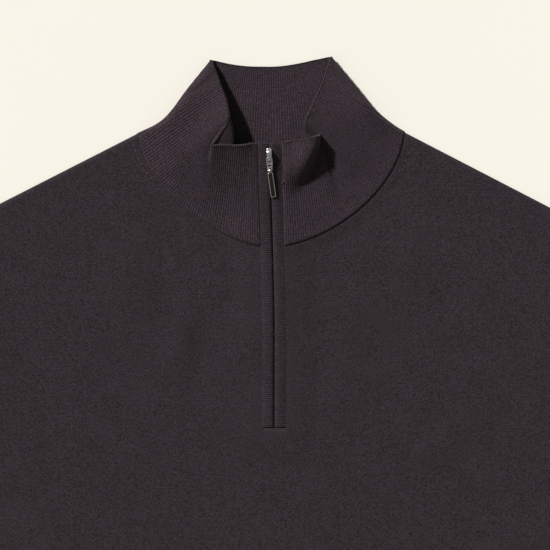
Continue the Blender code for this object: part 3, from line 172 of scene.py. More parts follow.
RIM_LEFT = [
    (0, -10.4, -7.1, 12.0, -0.5, 0.0),
    (4, -14.2, -6.7, 12.6, -0.5, 0.3),
    (8, -18.6, -7.7, 14.2, -1.5, 0.6),
    (13, -26.0, -8.3, 16.8, -1.5, 0.8),
    (19, -35.2, -7.8, 19.0, -1.0, 1.2),
    (23.5, -41.9, -8.3, 20.2, -0.3, 1.6),
    (25.2, -42.9, -7.5, 20.3, 0.0, 1.8),
    (27.2, -42.2, -5.9, 20.4, 0.0, 1.8),
    (31, -39.6, -2.4, 20.2, 0.2, 1.2),
    (36, -35.6, 3.1, 19.8, 0.6, 0.4),
    (41, -31.8, 8.0, 19.0, 1.4, 0.0),
    (45, -30.2, 11.8, 18.0, 2.0, -0.3),
    (53, -32.2, 24.1, 13.0, 1.5, 0.0),
    (61, -37.0, 37.4, 7.5, 1.0, 0.0),
    (69, -40.5, 47.2, 1.5, 0.3, 0.0),
    (76, -43.6, 54.0, 0.0, 0.0, 0.0),
    (84, -32.0, 52.2, 0.0, 0.0, 0.0),
    (91, -23.0, 50.8, 0.0, 0.0, 0.0),
    (98.5, -12.0, 50.0, 0.0, 0.0, 0.0),
    (106, 0.0, 49.9, 0.0, 0.0, 0.0),
]
RIM_RIGHT = [
    (0, 7.6, -5.6, 12.0, -0.5, 0.0),
    (3, 11.6, -5.8, 11.6, -0.5, 0.0),
    (6, 15.6, -4.6, 10.4, -0.5, 0.0),
    (12, 23.6, -4.2, 9.6, 0.0, 0.0),
    (18, 31.2, -2.2, 9.0, 0.5, -0.5),
    (22, 35.0, -0.9, 8.0, 0.0, 0.0),
    (26, 35.2, -0.4, 7.0, -1.0, 0.0),
    (31, 32.4, -0.4, 7.5, -1.0, 0.6),
    (35, 28.6, 1.5, 9.5, -0.5, 0.5),
    (39, 25.6, 4.2, 12.0, 0.0, 0.5),
    (44, 24.7, 8.6, 14.0, 1.0, 0.0),
    (52, 29.6, 20.6, 11.0, 1.5, 0.0),
    (61, 37.4, 37.6, 6.5, 1.0, 0.0),
    (69, 41.0, 47.8, 1.5, 0.3, 0.0),
    (76, 43.8, 56.4, 0.0, 0.0, 0.0),
    (84, 34.0, 55.2, 0.0, 0.0, 0.0),
    (91, 23.4, 52.9, 0.0, 0.0, 0.0),
    (98.5, 12.0, 50.9, 0.0, 0.0, 0.0),
    (103, 4.8, 50.1, 0.0, 0.0, 0.0),
    (106, 0.0, 49.9, 0.0, 0.0, 0.0),
]
RIM_CURL = [
    # rib, how far the right side's top edge curls over
    (22, 0.0), (26, 0.0), (31, 1.5), (35, 1.0), (39, 0.0), (44, 0.0),
]
# The right flap's side, which drops steeply to the cloth beside it: the foot of the drop.
CREST_COLUMNS = ("y", "x", "height", "drop_width")
FLAP_CREST = [
    (-44.0, 22.6, 0.0, 9.0),
    (-37.0, 25.6, 2.4, 9.0),
    (-33.0, 27.4, 4.8, 8.5),
    (-29.0, 29.0, 7.0, 7.6),
    (-24.2, 30.9, 9.0, 6.4),
    (-19.4, 32.4, 10.6, 5.2),
    (-14.4, 34.1, 11.6, 4.2),
    (-9.6, 35.6, 12.2, 3.2),
    (-6.0, 36.2, 12.6, 2.8),
    (-1.0, 36.4, 12.8, 2.6),
    (3.0, 36.4, 12.8, 2.6),
]
CREST_BACK = 15.0            # how gently the flap falls off on the crest's other side
CREST_RIBS = (24.0, 3.0)     # the ribs beyond these stay low
# The inside of the left fold: its edge under the rim, and its edge over the neck opening.
FOLD_INSIDE_COLUMNS = ("rib", "far_x", "far_y", "far_z")
FOLD_INSIDE = [
    (22.5, -30.0, -24.0, 12.0),
    (26.0, -28.8, -20.0, 14.0),
    (30.0, -28.2, -13.5, 16.4),
    (35.0, -28.4, -6.0, 18.6),
    (40.0, -28.9, 1.6, 19.6),
    (45.0, -29.9, 9.4, 19.2),
]
FOLD_INSIDE_PITCH = 0.8      # fine ribs for each rib of the collar beside it
FOLD_INSIDE_ROWS = 16
FOLD_INSIDE_WALL = 0.4
FOLD_INSIDE_RIB = 0.3
FOLD_INSIDE_DEPTH = 1.9      # below the middle of the wall whose edge it comes out of
FOLD_INSIDE_FROM = 0.95      # it starts inside that wall, at this share of its ribs
FOLD_INSIDE_SECTION = [
    # share of the way from the rim to the far edge, and x, y, z beyond that
    (0.0, 0.0, 0.0, 0.0),
    (0.16, 0.0, 0.0, 0.9),
    (0.62, 0.0, 0.0, 0.5),
    (1.0, 0.0, 0.0, 0.0),
    (1.0, 0.7, -0.2, -1.6),
    (1.0, 0.2, -0.3, -4.5),
    (1.0, -1.0, -0.4, -8.0),
]

# Soft ridges and troughs in the laid cloth, one row each, from one end to the other.
FOLD_COLUMNS = ("from_x", "from_y", "to_x", "to_y", "half_width", "height")
FRONT_FOLDS = [
    (-62.0, -112.0, -70.0, -196.0, 11.0, 1.5),
    (-24.0, -128.0, -28.0, -205.0, 13.0, 1.1),
    (52.0, -150.0, 44.0, -236.0, 16.0, 1.2),
    (-96.0, -60.0, -120.0, -170.0, 18.0, 1.2),
    (112.0, -52.0, 96.0, -140.0, 15.0, 1.0),
    (-205.0, -270.0, -120.0, -345.0, 17.0, 2.4),
    (210.0, -280.0, 130.0, -372.0, 19.0, 2.2),
    (-60.0, -330.0, -92.0, -470.0, 22.0, 1.8),
    (70.0, -390.0, 96.0, -540.0, 24.0, 2.0),
    (-190.0, -470.0, -150.0, -600.0, 20.0, 1.6),
    (10.0, -470.0, -6.0, -600.0, 18.0, 1.4),
]
SLEEVE_FOLDS = [
    # from across, along; to across, along; half width, height
    (0.0, 0.10, 0.55, 0.22, 14.0, 2.2),
    (0.0, 0.46, 0.60, 0.53, 12.0, 2.0),
    (0.9, 0.60, 0.45, 0.56, 11.0, 1.6),
    (0.5, 0.72, 0.65, 0.95, 12.0, 1.3),
]
SLEEVE_UNDER_CREASES = [
    (0.1, 0.05, 0.75, 0.16, 13.0, 0.9),
    (0.15, 0.30, 0.85, 0.37, 13.0, 1.1),
    (0.85, 0.66, 0.25, 0.73, 12.0, 1.0),
    (0.3, 0.84, 0.75, 0.90, 10.0, 0.7),
]

# Creases and troughs of the laid front and of the collar, too fine for the solids.
FRONT_CREASES = [
    (-50.0, -130.0, -54.0, -215.0, 8.0, -0.9),
    (34.0, -84.0, 38.0, -142.0, 13.0, -0.9),
    (-12.0, -72.0, -11.0, -98.0, 6.0, -0.5),
    (25.5, -112.0, 25.5, -228.0, 1.8, 0.35),
    (-19.3, -108.0, -19.3, -145.0, 1.8, 0.30),
    (-130.0, -110.0, -92.0, -215.0, 12.0, -0.8),
    (80.0, -110.0, 70.0, -205.0, 14.0, -0.7),
    (-150.0, -200.0, -60.0, -262.0, 11.0, 1.0),
    (170.0, -190.0, 92.0, -262.0, 12.0, 0.9),
]
BACK_CREASES = [
    (-170.0, -240.0, -60.0, -310.0, 14.0, 0.75),
    (150.0, -180.0, 112.0, -270.0, 13.0, 0.7),
    (-40.0, -380.0, -70.0, -520.0, 18.0, 0.8),
    (90.0, -420.0, 130.0, -560.0, 20.0, 0.75),
    (-190.0, -410.0, -120.0, -470.0, 14.0, 0.65),
    (170.0, -300.0, 100.0, -370.0, 15.0, 0.7),
]
BACK_WALL = 1.0              # leaves room under the front for the creases
COLLAR_DIMPLES = [
    (-74.0, -18.0, -42.0, -58.0, 7.0, -0.9),
    (-34.0, -28.0, -8.0, -54.0, 5.5, -0.7),
    (58.0, -22.0, 74.0, -44.0, 8.0, -0.6),
]

# ---- ribs and edges of the fine pieces ----
RIB_ROUND = 0.65             # below 1, crests are broad and valleys narrow
COLLAR_INNER = 0.6
COLLAR_INNER_RIB = 0.4
RIM_ROLL = 0.3               # the folded top edge is a little thicker than the wall
RIM_ROLL_REACH = 2.3
SEAM_RIB_SHARE = 0.35        # how much of a rib's height is left in the seam
RIM_CROWDING = (1.2, 0.05)   # how much closer its rows lie at the top edge, and over what share
CREASE_CROWDING = (2.2, 0.1) # and round the side crease
FRONT_FROM = (2.6, 1.0)      # heights over which the wall counts as the collar's laid front
DIMPLES_FROM = (3.4, 1.5)    # and heights over which its dimples set in
TUCK_REACH = 2.0             # the collar's lower edge turns down into the seam over this length
TUCK_DROP = 0.7
ZIP_SIDE_RIBS = 1.1          # the collar's sides by the zip are rounded off over this many ribs
ZIP_SIDE_DROP = 0.7
ZIP_SIDE_MORE_RIBS = 1.3     # and more so at the top of the right side
ZIP_SIDE_MORE_DROP = 1.3
ZIP_SIDE_MORE_PART = 0.625   # from this part of the ribs up
NORMAL_STEP = 0.06
BAND_RIB_HEIGHT = 0.5
EDGING_RIB_PITCH = 1.35
EDGING_RIB_HEIGHT = 0.45
EDGING_CUT = 13.0
EDGING_END = 1.6             # the strips' ends are rounded off over this length
EDGING_END_DROP = 1.3
EDGING_TOP_WAVE = 0.7
EDGING_WAVE_REACH = 6.0
EDGING_LEAN = 1.5            # the right strip's outer side sinks beside the slider
EDGING_LEAN_FROM = -58.0
EDGING_LEAN_REACH = 20.0
EDGING_LEAN_ACROSS = (2.5, 5.0)   # where it starts across the strip, and over what width
EDGING_LEAN_BELOW = 0.45     # its share below the slider
EDGING_CLOSES = 9.0          # over the slider the strips close to this far from their tops
EDGING_CLOSING = 4.0
EDGING_CLOSED = 0.06
ROLL_STEPS = (3.0, 2.4, 1.8, 1.2, 0.6, 0.25, 0.0)
NEAR_STEPS = (0.0, 0.35, 0.8, 1.6)
BACK_STEPS = (0.0, 0.6, 1.4)
ROW_STEP = 1.5               # least step from those to the even points between
LAST_NECK_STEP = 0.4         # the neckline's points end this far below the shoulder's rolled edge
LAST_SIDE_STEP = 2.0
EVEN_ROWS_FROM = -330.0      # rows lie closer together above this height

# ---- slider, link, pull tab and teeth ----
SLIDER_LENGTH = 10.0
SLIDER_WIDTH = 4.4
SLIDER_PLATE = 1.2
SLIDER_CORNER = 1.7
SLIDER_TAPER = 0.82
SLIDER_ABOVE_PIN = 2.2       # the slider's middle from the link's pin, up the zip
SLIDER_FOOT_Y = -20.0
PIN_HEIGHT = 1.95            # the pin above the underside of the slider's plate
BRIDGE_WIDTH = 2.0
BRIDGE_LENGTH = 8.2
BRIDGE_HEIGHT = 2.1
BRIDGE_BAR = 0.9
BRIDGE_DOME = 0.9
BRIDGE_DROP = 0.45
BRIDGE_WIDTHS = (0.8, 0.85, 1.0, 1.45, 1.8, 1.85, 1.35)
BRIDGE_DOME_REACH = 0.62     # of its width
BRIDGE_FOOT = 1.2
BRIDGE_SUNK = 0.1            # its feet reach this far into the plate
SLIDER_BEVEL = 0.4
LINK_BEVEL = 0.24
TAB_BEVEL = 0.2
FACE_CORNER = 0.3
FACE_BEVEL = 0.06
FACE_GAP = 0.24              # the dark face stands clear of the rim
FACE_THICK = 0.8             # its share of the rim's depth
FACE_BELOW = 0.58
TOOTH_BEVEL = 0.12
NEAR = 0.1                   # parts closer than this to a level lie on it
SHARP_ANGLE = 50.0           # degrees
LINK_WIRE = 0.8
LINK_ARM = 0.85
LINK_CORNER = 1.0
LINK_WIDTH = 4.3
LINK_LENGTH = 10.4
LINK_LINES = (-0.4, -2.9, -3.4, -3.9, -5.2, -6.3, -7.7, -9.2)   # both ends of each gap
LINK_WIDTHS = (0.98, 1.0, 1.06, 1.08, 1.05, 1.0, 0.92, 0.9, 0.86, 0.82)
TAB_WIDTH = 4.0
TAB_LENGTH = 21.6
TAB_THICKNESS = 1.1
TAB_CORNER = 0.6
TAB_RIM = 0.32
TAB_SUNK = 0.3
TAB_EYE_RADIUS = 0.9
TAB_EYE_WALL = 0.6
TAB_EYE_WIDTH = 1.8
TAB_END_REACH = 1.5
TOOTH_PITCH = 1.25
TOOTH_WIDTH = 0.78
TOOTH_LENGTH = 0.7
TOOTH_HEIGHT = 0.9
TOOTH_ASIDE = 0.1
TOOTH_LIFT = 0.25

# ---- raised stitches: x, y and turn in degrees ----
STITCH_LONG = 1.9
STITCH_LEAN = 27.0
STITCH_APART = 0.324
STITCH_THICK = 0.42
FASHIONING_MARKS = [
    (-101.6, -8.4, 70.0), (-100.2, -12.6, 68.0), (-97.6, -18.6, 62.0), (-95.4, -22.4, 60.0),
    (-91.4, -29.4, 54.0), (-88.8, -33.0, 52.0), (-86.2, -38.4, 48.0), (-83.4, -41.6, 46.0),
    (102.2, -14.5, -70.0), (100.0, -20.0, -62.0), (95.6, -27.4, -54.0), (89.6, -34.8, -46.0),
]
TACK_LIFT = 1.3
TACK_STITCHES = [(8.6, -36.4, 4.0), (9.2, -34.9, 92.0), (10.5, -34.9, 88.0), (11.1, -36.4, -4.0)]

# ---- colours, linear ----
KNIT_COLOUR = (0.0284, 0.0206, 0.0252)
RIB_COLOUR = (0.0352, 0.0246, 0.0307)
# Lighter yarn for the raised stitches: the tack's own lighter thread, and a painted highlight on
# the raised fashioning knots.
LIGHT_YARN_AND_HIGHLIGHT_COLOUR = (0.050, 0.038, 0.046)
EDGING_COLOUR = (0.0322, 0.0229, 0.0284)
TAPE_COLOUR = (0.022, 0.017, 0.020)
SILVER = (0.82, 0.79, 0.775)
GUNMETAL = (0.078, 0.066, 0.046)
SHEEN_COLOUR = (0.8, 0.66, 0.75)
DARK_YARN_AND_SHADE = 0.2              # each yarn's share of the cloth's own colour; the dark end also carries the painted shade of the stitch grooves and rib valleys
WARM_YARN = (1.85, 1.78, 1.60)
COOL_YARN = (1.55, 1.66, 1.86)
STITCH_GROOVE_SHADE_SHARE = 0.26          # what the stitches add as painted shade in their grooves, and what fuzz, loose stitches and flecks add as random tone
FUZZ_SHARE = 0.14
LOOSE_SHARE = 0.22
FLECK_SHARE = 0.58
FLECK_RANGE = (0.43, 0.57)
STITCH_SLANT = 0.6
LEG_ROUND = 0.6
LOOP_ROUND = 0.7
# how narrow the painted shade in the ribs' valleys is
VALLEY_SHADE_ROUND = 0.55
FLOOR_LIGHT = (0.90, 0.868, 0.80)
FLOOR_DARK = (0.89, 0.858, 0.79)
FILL_COLOUR = (1.0, 1.0, 1.0)
KEY_COLOUR = (1.0, 0.985, 0.955)

# ---- studio ----
FLOOR_SIZE = 12.0
FLOOR_LEVEL = -0.0002
FILL_STRENGTH = 0.20
KEY_DISTANCE = 6.0
KEY_SPREAD = 4.6             # degrees across, which sets how soft its shadows are
KEY_POWER = 4.25
KEY_DIRECTION = (-0.556, 0.532, 0.636)
CAMERA_HEIGHT = 4.0
VIEW_WIDTH = 407.4

# ---- mesh density ----
COLUMNS_PER_RIB = 6
COLLAR_ROWS = 33
LAST_ROWS = (0.97, 0.981, 0.991, 1.0)
ROW_PLACES = np.concatenate([np.linspace(0.0, 0.957, COLLAR_ROWS - len(LAST_ROWS)), LAST_ROWS])
CAP_LOOPS = 4
BAND_RIB_PITCH = 2.1
BAND_COLUMNS = 5
EDGING_COLUMNS = 6
BAND_ROWS = 12
SLEEVE_ROWS = 90
SLEEVE_STEPS = 72            # columns across each side of a sleeve
TURN_STEPS = 8               # columns round each turn of a laid tube
FRONT_COLUMNS = 64
FRONT_LOW_ROWS = 34          # in each of the two parts below the zip
SLOT_ROWS = 40
NECK_ROWS = 60
BELOW_SLOT_COLUMNS = 7
BACK_COLUMNS = 30
BACK_ROWS = 90
BACK_NECK_ROWS = 40
CREASE_POINTS = 160
SLEEVE_POINTS = 120
WALL_POINTS = 60             # points up the collar's wall that its heights are read from
FINE_POINTS = 241
TAPE_ROWS = (24, 40)         # below the neck seam and above it

# ---- flat sizes of the pieces, in metres ----
SLEEVE_WALES = 200.0
TAPE_TURNS = (2.0, 6.0)      # millimetres of tape across and along that its bends take up


# ------------------------------------------------------------------ curves and tables

def smooth(value):
    """Ease from 0 to 1."""
    value = np.clip(value, 0.0, 1.0)
    return value * value * (3.0 - 2.0 * value)


def eased_curve(knots, values, at):
    """A curve through the values that never overshoots them."""
    knots = np.asarray(knots, float)
    values = np.asarray(values, float)
    step = np.diff(knots)
    slope = np.diff(values) / step
    tangent = np.zeros(len(knots))
    same_way = slope[:-1] * slope[1:] > 0.0
    before = 2.0 * step[1:] + step[:-1]
    after = step[1:] + 2.0 * step[:-1]
    safe_low = np.where(same_way, slope[:-1], 1.0)
    safe_high = np.where(same_way, slope[1:], 1.0)
    harmonic = (before + after) / (before / safe_low + after / safe_high)
    tangent[1:-1] = np.where(same_way, harmonic, 0.0)
    tangent[0] = slope[0]
    tangent[-1] = slope[-1]
    at = np.clip(at, knots[0], knots[-1])
    span = np.clip(np.searchsorted(knots, at, side="right") - 1, 0, len(step) - 1)
    width = step[span]
    part = (at - knots[span]) / width
    return ((1 + 2 * part) * (1 - part) ** 2 * values[span]
            + part * (1 - part) ** 2 * width * tangent[span]
            + part ** 2 * (3 - 2 * part) * values[span + 1]
            + part ** 2 * (part - 1) * width * tangent[span + 1])


def column(table, names, name):
    return [row[names.index(name)] for row in table]


def lengths(vectors):
    return np.linalg.norm(vectors, axis=-1)


def unit(vectors):
    return vectors / lengths(vectors)[..., None]


def measured(points):
    """Distance along a path, or along each line of a grid, from its first point to each."""
    steps = np.cumsum(lengths(np.diff(points, axis=0)), axis=0)
    return np.concatenate([np.zeros((1,) + steps.shape[1:]), steps])


def at_places(curve, along, places):
    """Points of a curve where its length, along, reaches the given places."""
    return np.stack([np.interp(places, along, line) for line in curve.T], axis=-1)


def even_path(points, count):
    """Points spaced evenly along a smooth path through the given ones."""
    points = np.asarray(points, float)
    chord = measured(points)
    fine = np.linspace(0.0, chord[-1], count * 4)
    path = np.stack([eased_curve(chord, points[:, axis], fine) for axis in (0, 1)], axis=1)
    along = measured(path)
    return at_places(path, along, np.linspace(0.0, along[-1], count))


def evened(path, reach):
    """A path with each point moved to the mean of its neighbours, its ends kept."""
    padded = np.vstack([2 * path[0] - path[reach:0:-1], path,
                        2 * path[-1] - path[-2:-reach - 2:-1]])
    kernel = np.ones(2 * reach + 1) / (2 * reach + 1)
    return np.stack([np.convolve(padded[:, axis], kernel, "valid") for axis in (0, 1)], axis=1)


def zip_x(y):
    return eased_curve(*zip(*ZIP_LINE), y)


def rib_profile(phase):
    """Height of a knitted rib across its width: 0 in the valleys at whole numbers, 1 on the
    broad crest between them."""
    return np.abs(np.sin(math.pi * phase)) ** RIB_ROUND


# ------------------------------------------------------------------ neckline and collar

def front_neck_curve(side):
    """The front neckline from the zip edging to the shoulder; side is -1 left, 1 right."""
    roundness = NECK_ROUNDNESS_LEFT if side < 0 else NECK_ROUNDNESS_RIGHT
    edge = zip_x(FRONT_NECK_Y) * side + SLOT_HALF_WIDTH
    depth = NECK_POINT_Y - FRONT_NECK_Y
    first = math.asin((edge / NECK_HALF_WIDTH) ** (roundness / 2))
    turn = np.linspace(first, math.pi / 2, NECK_STEPS)
    x = side * NECK_HALF_WIDTH * np.sin(turn) ** (2 / roundness)
    y = NECK_POINT_Y - depth * np.maximum(np.cos(turn), 0.0) ** (2 / roundness)
    return np.stack([x, y], axis=1)


def back_neck_curve(side):
    """The back neckline from the shoulder to the middle of the back."""
    turn = np.linspace(0.0, math.pi / 2, NECK_STEPS)
    x = side * NECK_HALF_WIDTH * np.cos(turn)
    y = NECK_POINT_Y - (NECK_POINT_Y - BACK_NECK_Y) * np.sin(turn)
    return np.stack([x, y], axis=1)


def wrapping(rib):
    """How far up the side crease a rib crosses it: 0 at the shoulder, 1 at the peak."""
    return np.clip((np.asarray(rib, float) - NECK_RIBS) / CREASE_RIBS, 0.0, 1.0)


class CollarSide:
    """One half of the collar, in plan: its base, its top edge and its side crease."""

    def __init__(self, side, rim_table, crease_points):
        self.side = side
        self.front = front_neck_curve(side)
        self.front_length = measured(self.front)
        self.back = back_neck_curve(side)
        self.back_length = measured(self.back)
        self.table = {name: column(rim_table, RIM_COLUMNS, name) for name in RIM_COLUMNS}
        self.crease = evened(even_path(crease_points, CREASE_POINTS), CREASE_SOFTENING)
        self.foot = int(np.argmin(lengths(self.crease - self.front[-1])))
        self.front[-1] = self.crease[self.foot]
        self.back[0] = self.crease[self.foot]

    def value(self, name, rib):
        return eased_curve(self.table["rib"], self.table[name], rib)

    def rim(self, rib):
        return np.stack([self.value("rim_x", rib), self.value("rim_y", rib)], axis=-1)

    def base(self, rib):
        """Where a rib starts on the neckline."""
        rib = np.asarray(rib, float)
        widen = (RIB_PITCH_AT_SHOULDER - RIB_PITCH_AT_ZIP) / (2 * NECK_RIBS)
        raw = RIB_PITCH_AT_ZIP * rib + widen * rib ** 2
        full = RIB_PITCH_AT_ZIP * NECK_RIBS + widen * NECK_RIBS ** 2
        back_part = np.clip((rib - NECK_RIBS) / (HALF_RIBS - NECK_RIBS), 0.0, 1.0)
        on_front = at_places(self.front, self.front_length, raw / full * self.front_length[-1])
        on_back = at_places(self.back, self.back_length, back_part * self.back_length[-1])
        return np.where((rib <= NECK_RIBS)[..., None], on_front, on_back)

    def crossing(self, rib):
        """The part of a rib that lies on the back before it wraps over the crease."""
        wrap = wrapping(rib)
        over = self.on_crease(wrap ** CREASE_CLIMB)
        below = lengths(over - self.base(rib))
        part = below / np.maximum(below + lengths(self.rim(rib) - over), TINY)
        return np.where(wrap <= 0.0, 0.0, np.where(wrap >= 1.0, 1.0, part))

    def on_crease(self, part):
        """A point of the crease: 0 at the shoulder, 1 at the collar's peak."""
        place = self.foot + part * (len(self.crease) - 1 - self.foot)
        return at_places(self.crease, np.arange(len(self.crease)), place)

    def to_crease(self, points):
        """How far inside the crease each point lies, the way in from it, and how far up the crease
        that is. Points beyond the crease have a distance below 0."""
        away = points[:, None, :] - self.crease[None, :, :]
        index = (away ** 2).sum(axis=2).argmin(axis=1)
        best = None
        for start in (np.clip(index - 1, 0, len(self.crease) - 2),
                      np.clip(index, 0, len(self.crease) - 2)):
            first = self.crease[start]
            edge = self.crease[start + 1] - first
            part = np.clip(((points - first) * edge).sum(axis=1) / (edge ** 2).sum(axis=1), 0, 1)
            foot = first + edge * part[:, None]
            gap = lengths(points - foot)
            across = unit(np.stack([edge[:, 1], -edge[:, 0]], axis=1)) * -self.side
            beyond = ((points - foot) * across).sum(axis=1) < 0.0
            signed = np.where(beyond, -gap, gap)
            place = (start + part - self.foot) / (len(self.crease) - 1 - self.foot)
            found = np.column_stack([signed, across, place])
            if best is None:
                best = found
            else:
                best = np.where((gap < np.abs(best[:, 0]))[:, None], found, best)
        return best[:, 0], best[:, 1:3], best[:, 3]


COLLAR_LEFT = CollarSide(-1, RIM_LEFT, CREASE_LEFT)
COLLAR_RIGHT = CollarSide(1, RIM_RIGHT, CREASE_RIGHT)


def crease_radius(place):
    """How round the side crease is, a point up it."""
    widening = smooth(place / CREASE_WIDENS)
    return CREASE_RADIUS_LOW + (CREASE_RADIUS_HIGH - CREASE_RADIUS_LOW) * widening


def collar_surface(stations, parts):
    """Middle of the collar's wall. Stations count ribs from the left zip edge right round to the
    right one; parts run from 0 at the seam to 1 at the top edge."""
    stations = np.asarray(stations, float)
    parts = np.asarray(parts, float)
    middle = np.zeros(stations.shape + (3,))
    for half in (COLLAR_LEFT, COLLAR_RIGHT):
        chosen = stations <= HALF_RIBS if half.side < 0 else stations > HALF_RIBS
        if not chosen.any():
            continue
        rib = stations[chosen] if half.side < 0 else 2 * HALF_RIBS - stations[chosen]
        middle[chosen] = half_collar(half, rib, parts[chosen])
    return middle


def half_collar(half, rib, part):
    """Points of one half's wall: laid out in plan, wrapped round the side crease, then lifted."""
    base = half.base(rib)
    rim = half.rim(rib)
    wrap = wrapping(rib)
    crease_point = half.on_crease(wrap ** CREASE_CLIMB)
    crossing = half.crossing(rib)
    on_back = (part < crossing) | (wrap >= 1)
    rise = np.where(on_back, 0.0, (part - crossing) / np.maximum(1.0 - crossing, TINY))
    run = np.where(on_back, part / np.maximum(crossing, TINY), rise)
    start = np.where(on_back[:, None], base, np.where((wrap > 0)[:, None], crease_point, base))
    end = np.where(on_back[:, None], np.where((wrap < 1)[:, None], crease_point, rim), rim)
    plan = start + (end - start) * run[:, None]
    plan[:, 0] += half.value("swing", rib) * np.sin(math.pi * part)
    if half.side > 0:
        curl = part ** CURL_POWER * (1.0 - part) / CURL_PEAK
        plan[:, 0] += eased_curve(*zip(*RIM_CURL), rib) * curl
    signed, inward, place = half.to_crease(plan)
    distance = np.maximum(signed, 0.0)
    radius = crease_radius(place)
    slack = (math.pi / 2 - 1.0) * radius
    above = smooth(part / LOW_SHARE)
    low_part = above + (1.0 - above) * smooth((rib - LOW_RIBS[0]) / LOW_RIBS[1])
    evenly = (smooth((rib - WRAP_FADE[0]) / (NECK_RIBS - WRAP_FADE[0])) * low_part
              * (1.0 - smooth((rib - NECK_RIBS - CREASE_RIBS) / WRAP_FADE[1])))
    far_end = np.abs(np.where(on_back, half.to_crease(base)[0], half.to_crease(rim)[0]))
    spread = (far_end + slack) / np.maximum(far_end, LEAST_REACH)
    rounded = np.where(distance < radius,
                       radius * np.arccos(np.clip(1.0 - distance / radius, -1.0, 1.0)),
                       distance + slack)
    rolled = rounded + (np.minimum(distance * spread, distance + slack) - rounded) * evenly
    angle = np.minimum(rolled / radius, math.pi / 2)
    held = np.where(rolled < radius * math.pi / 2, radius * (1.0 - np.cos(angle)), rolled - slack)
    plan = plan + inward * (held - signed)[:, None]
    near = np.exp(-(held / CREASE_REACH) ** 2)
    local = CREASE_RADIUS_LOW + (radius - CREASE_RADIUS_LOW) * near
    low = COLLAR_WALL / 2 + COLLAR_RIB_HEIGHT
    turn = np.where(on_back, -np.sin(angle), np.sin(angle))
    height = low + local * (1.0 + turn)
    edge_rise = (COLLAR_EDGE_LEVEL - low - 2 * CREASE_RADIUS_LOW) * smooth(angle)
    front = np.where(on_back, 0.0, 1.0)
    lift = (half.value("lift", rib) * rise ** RIM_LIFT_POWER
            + half.value("belly", rib) * np.sin(math.pi * rise))
    near_zip = over_tape(plan[:, 0], plan[:, 1])
    if half.side > 0:
        lift = lift + crest_height(plan[:, 0], plan[:, 1], rib)
    return np.column_stack([plan, height + front * (lift + edge_rise + near_zip)])


def over_tape(x, y):
    """How far the cloth rides up over the zip tape."""
    from_zip = np.abs(x - zip_x(y))
    aside = 1.0 - smooth((from_zip - TAPE_HALF_WIDTH) / TAPE_FADE)
    below = smooth((y - (ZIP_BOTTOM_Y - TAPE_TAIL - TAPE_FADE_BELOW)) / TAPE_FADE)
    return (TAPE_WALL + SEAM_GAP) * aside * below


def past_seam(y):
    """0 below the neck seam at the zip, rising to 1 on the collar."""
    return smooth((y - COLLAR_STARTS_Y) / COLLAR_BLEND)


# ------------------------------------------------------------------ meshes

def enclosed(points, faces):
    """Volume inside a closed mesh of quads, negative where its faces point inwards."""
    first, second, third, fourth = (points[faces[:, corner]] for corner in range(4))
    return float((np.cross(second - first, third - first) * first).sum()
                 + (np.cross(third - first, fourth - first) * first).sum())


def make_piece(name, points, faces, uv, material):
    """A mesh object from points in the garment's frame, with a flat map in the cloth's sizes."""
    mesh = bpy.data.meshes.new(name)
    points = (np.asarray(points, float) + GARMENT_AT) * MM
    points[:, 2] = np.maximum(points[:, 2], 0.0)
    faces = np.asarray(faces, np.int32)
    corners = faces.shape[1]
    if enclosed(points, faces) < 0.0:
        faces, uv = faces[:, ::-1], uv[:, ::-1]
    mesh.vertices.add(len(points))
    mesh.vertices.foreach_set("co", points.astype(np.float32).ravel())
    mesh.loops.add(faces.size)
    mesh.loops.foreach_set("vertex_index", faces.ravel())
    mesh.polygons.add(len(faces))
    mesh.polygons.foreach_set("loop_start", np.arange(0, faces.size, corners, dtype=np.int32))
    mesh.update(calc_edges=True)
    layer = mesh.uv_layers.new(name="cloth")
    layer.data.foreach_set("uv", np.asarray(uv, np.float32).ravel())
    mesh.validate()
    mesh.materials.append(material)
    mesh.shade_smooth()
    piece = bpy.data.objects.new(name, mesh)
    bpy.context.collection.objects.link(piece)
    return piece


def grid_faces(rows, columns, round_rows=False, round_columns=False):
    """Quads of a grid of points, optionally closed on itself either way."""
    row = np.arange(rows if round_rows else rows - 1)
    place = np.arange(columns if round_columns else columns - 1)
    low, left = np.meshgrid(row, place, indexing="ij")
    high = (low + 1) % rows
    right = (left + 1) % columns
    quads = np.stack([low * columns + left, low * columns + right,
                      high * columns + right, high * columns + left], axis=-1)
    return quads.reshape(-1, 4)


def wall_normals(surface, stations, parts, station_step, part_step):
    """Unit normals of a wall's middle, pointing out of the cloth."""
    ahead = surface(stations + station_step, parts)
    behind = surface(stations - station_step, parts)
    above = surface(stations, np.minimum(parts + part_step, 1.0))
    below = surface(stations, np.maximum(parts - part_step, 0.0))
    return unit(np.cross(above - below, ahead - behind))


def filled(ring):
    """Quads across a ring of an even number of points."""
    return [(ring[low], ring[low + 1], ring[-low - 2], ring[-low - 1])
            for low in range(len(ring) // 2 - 1)]


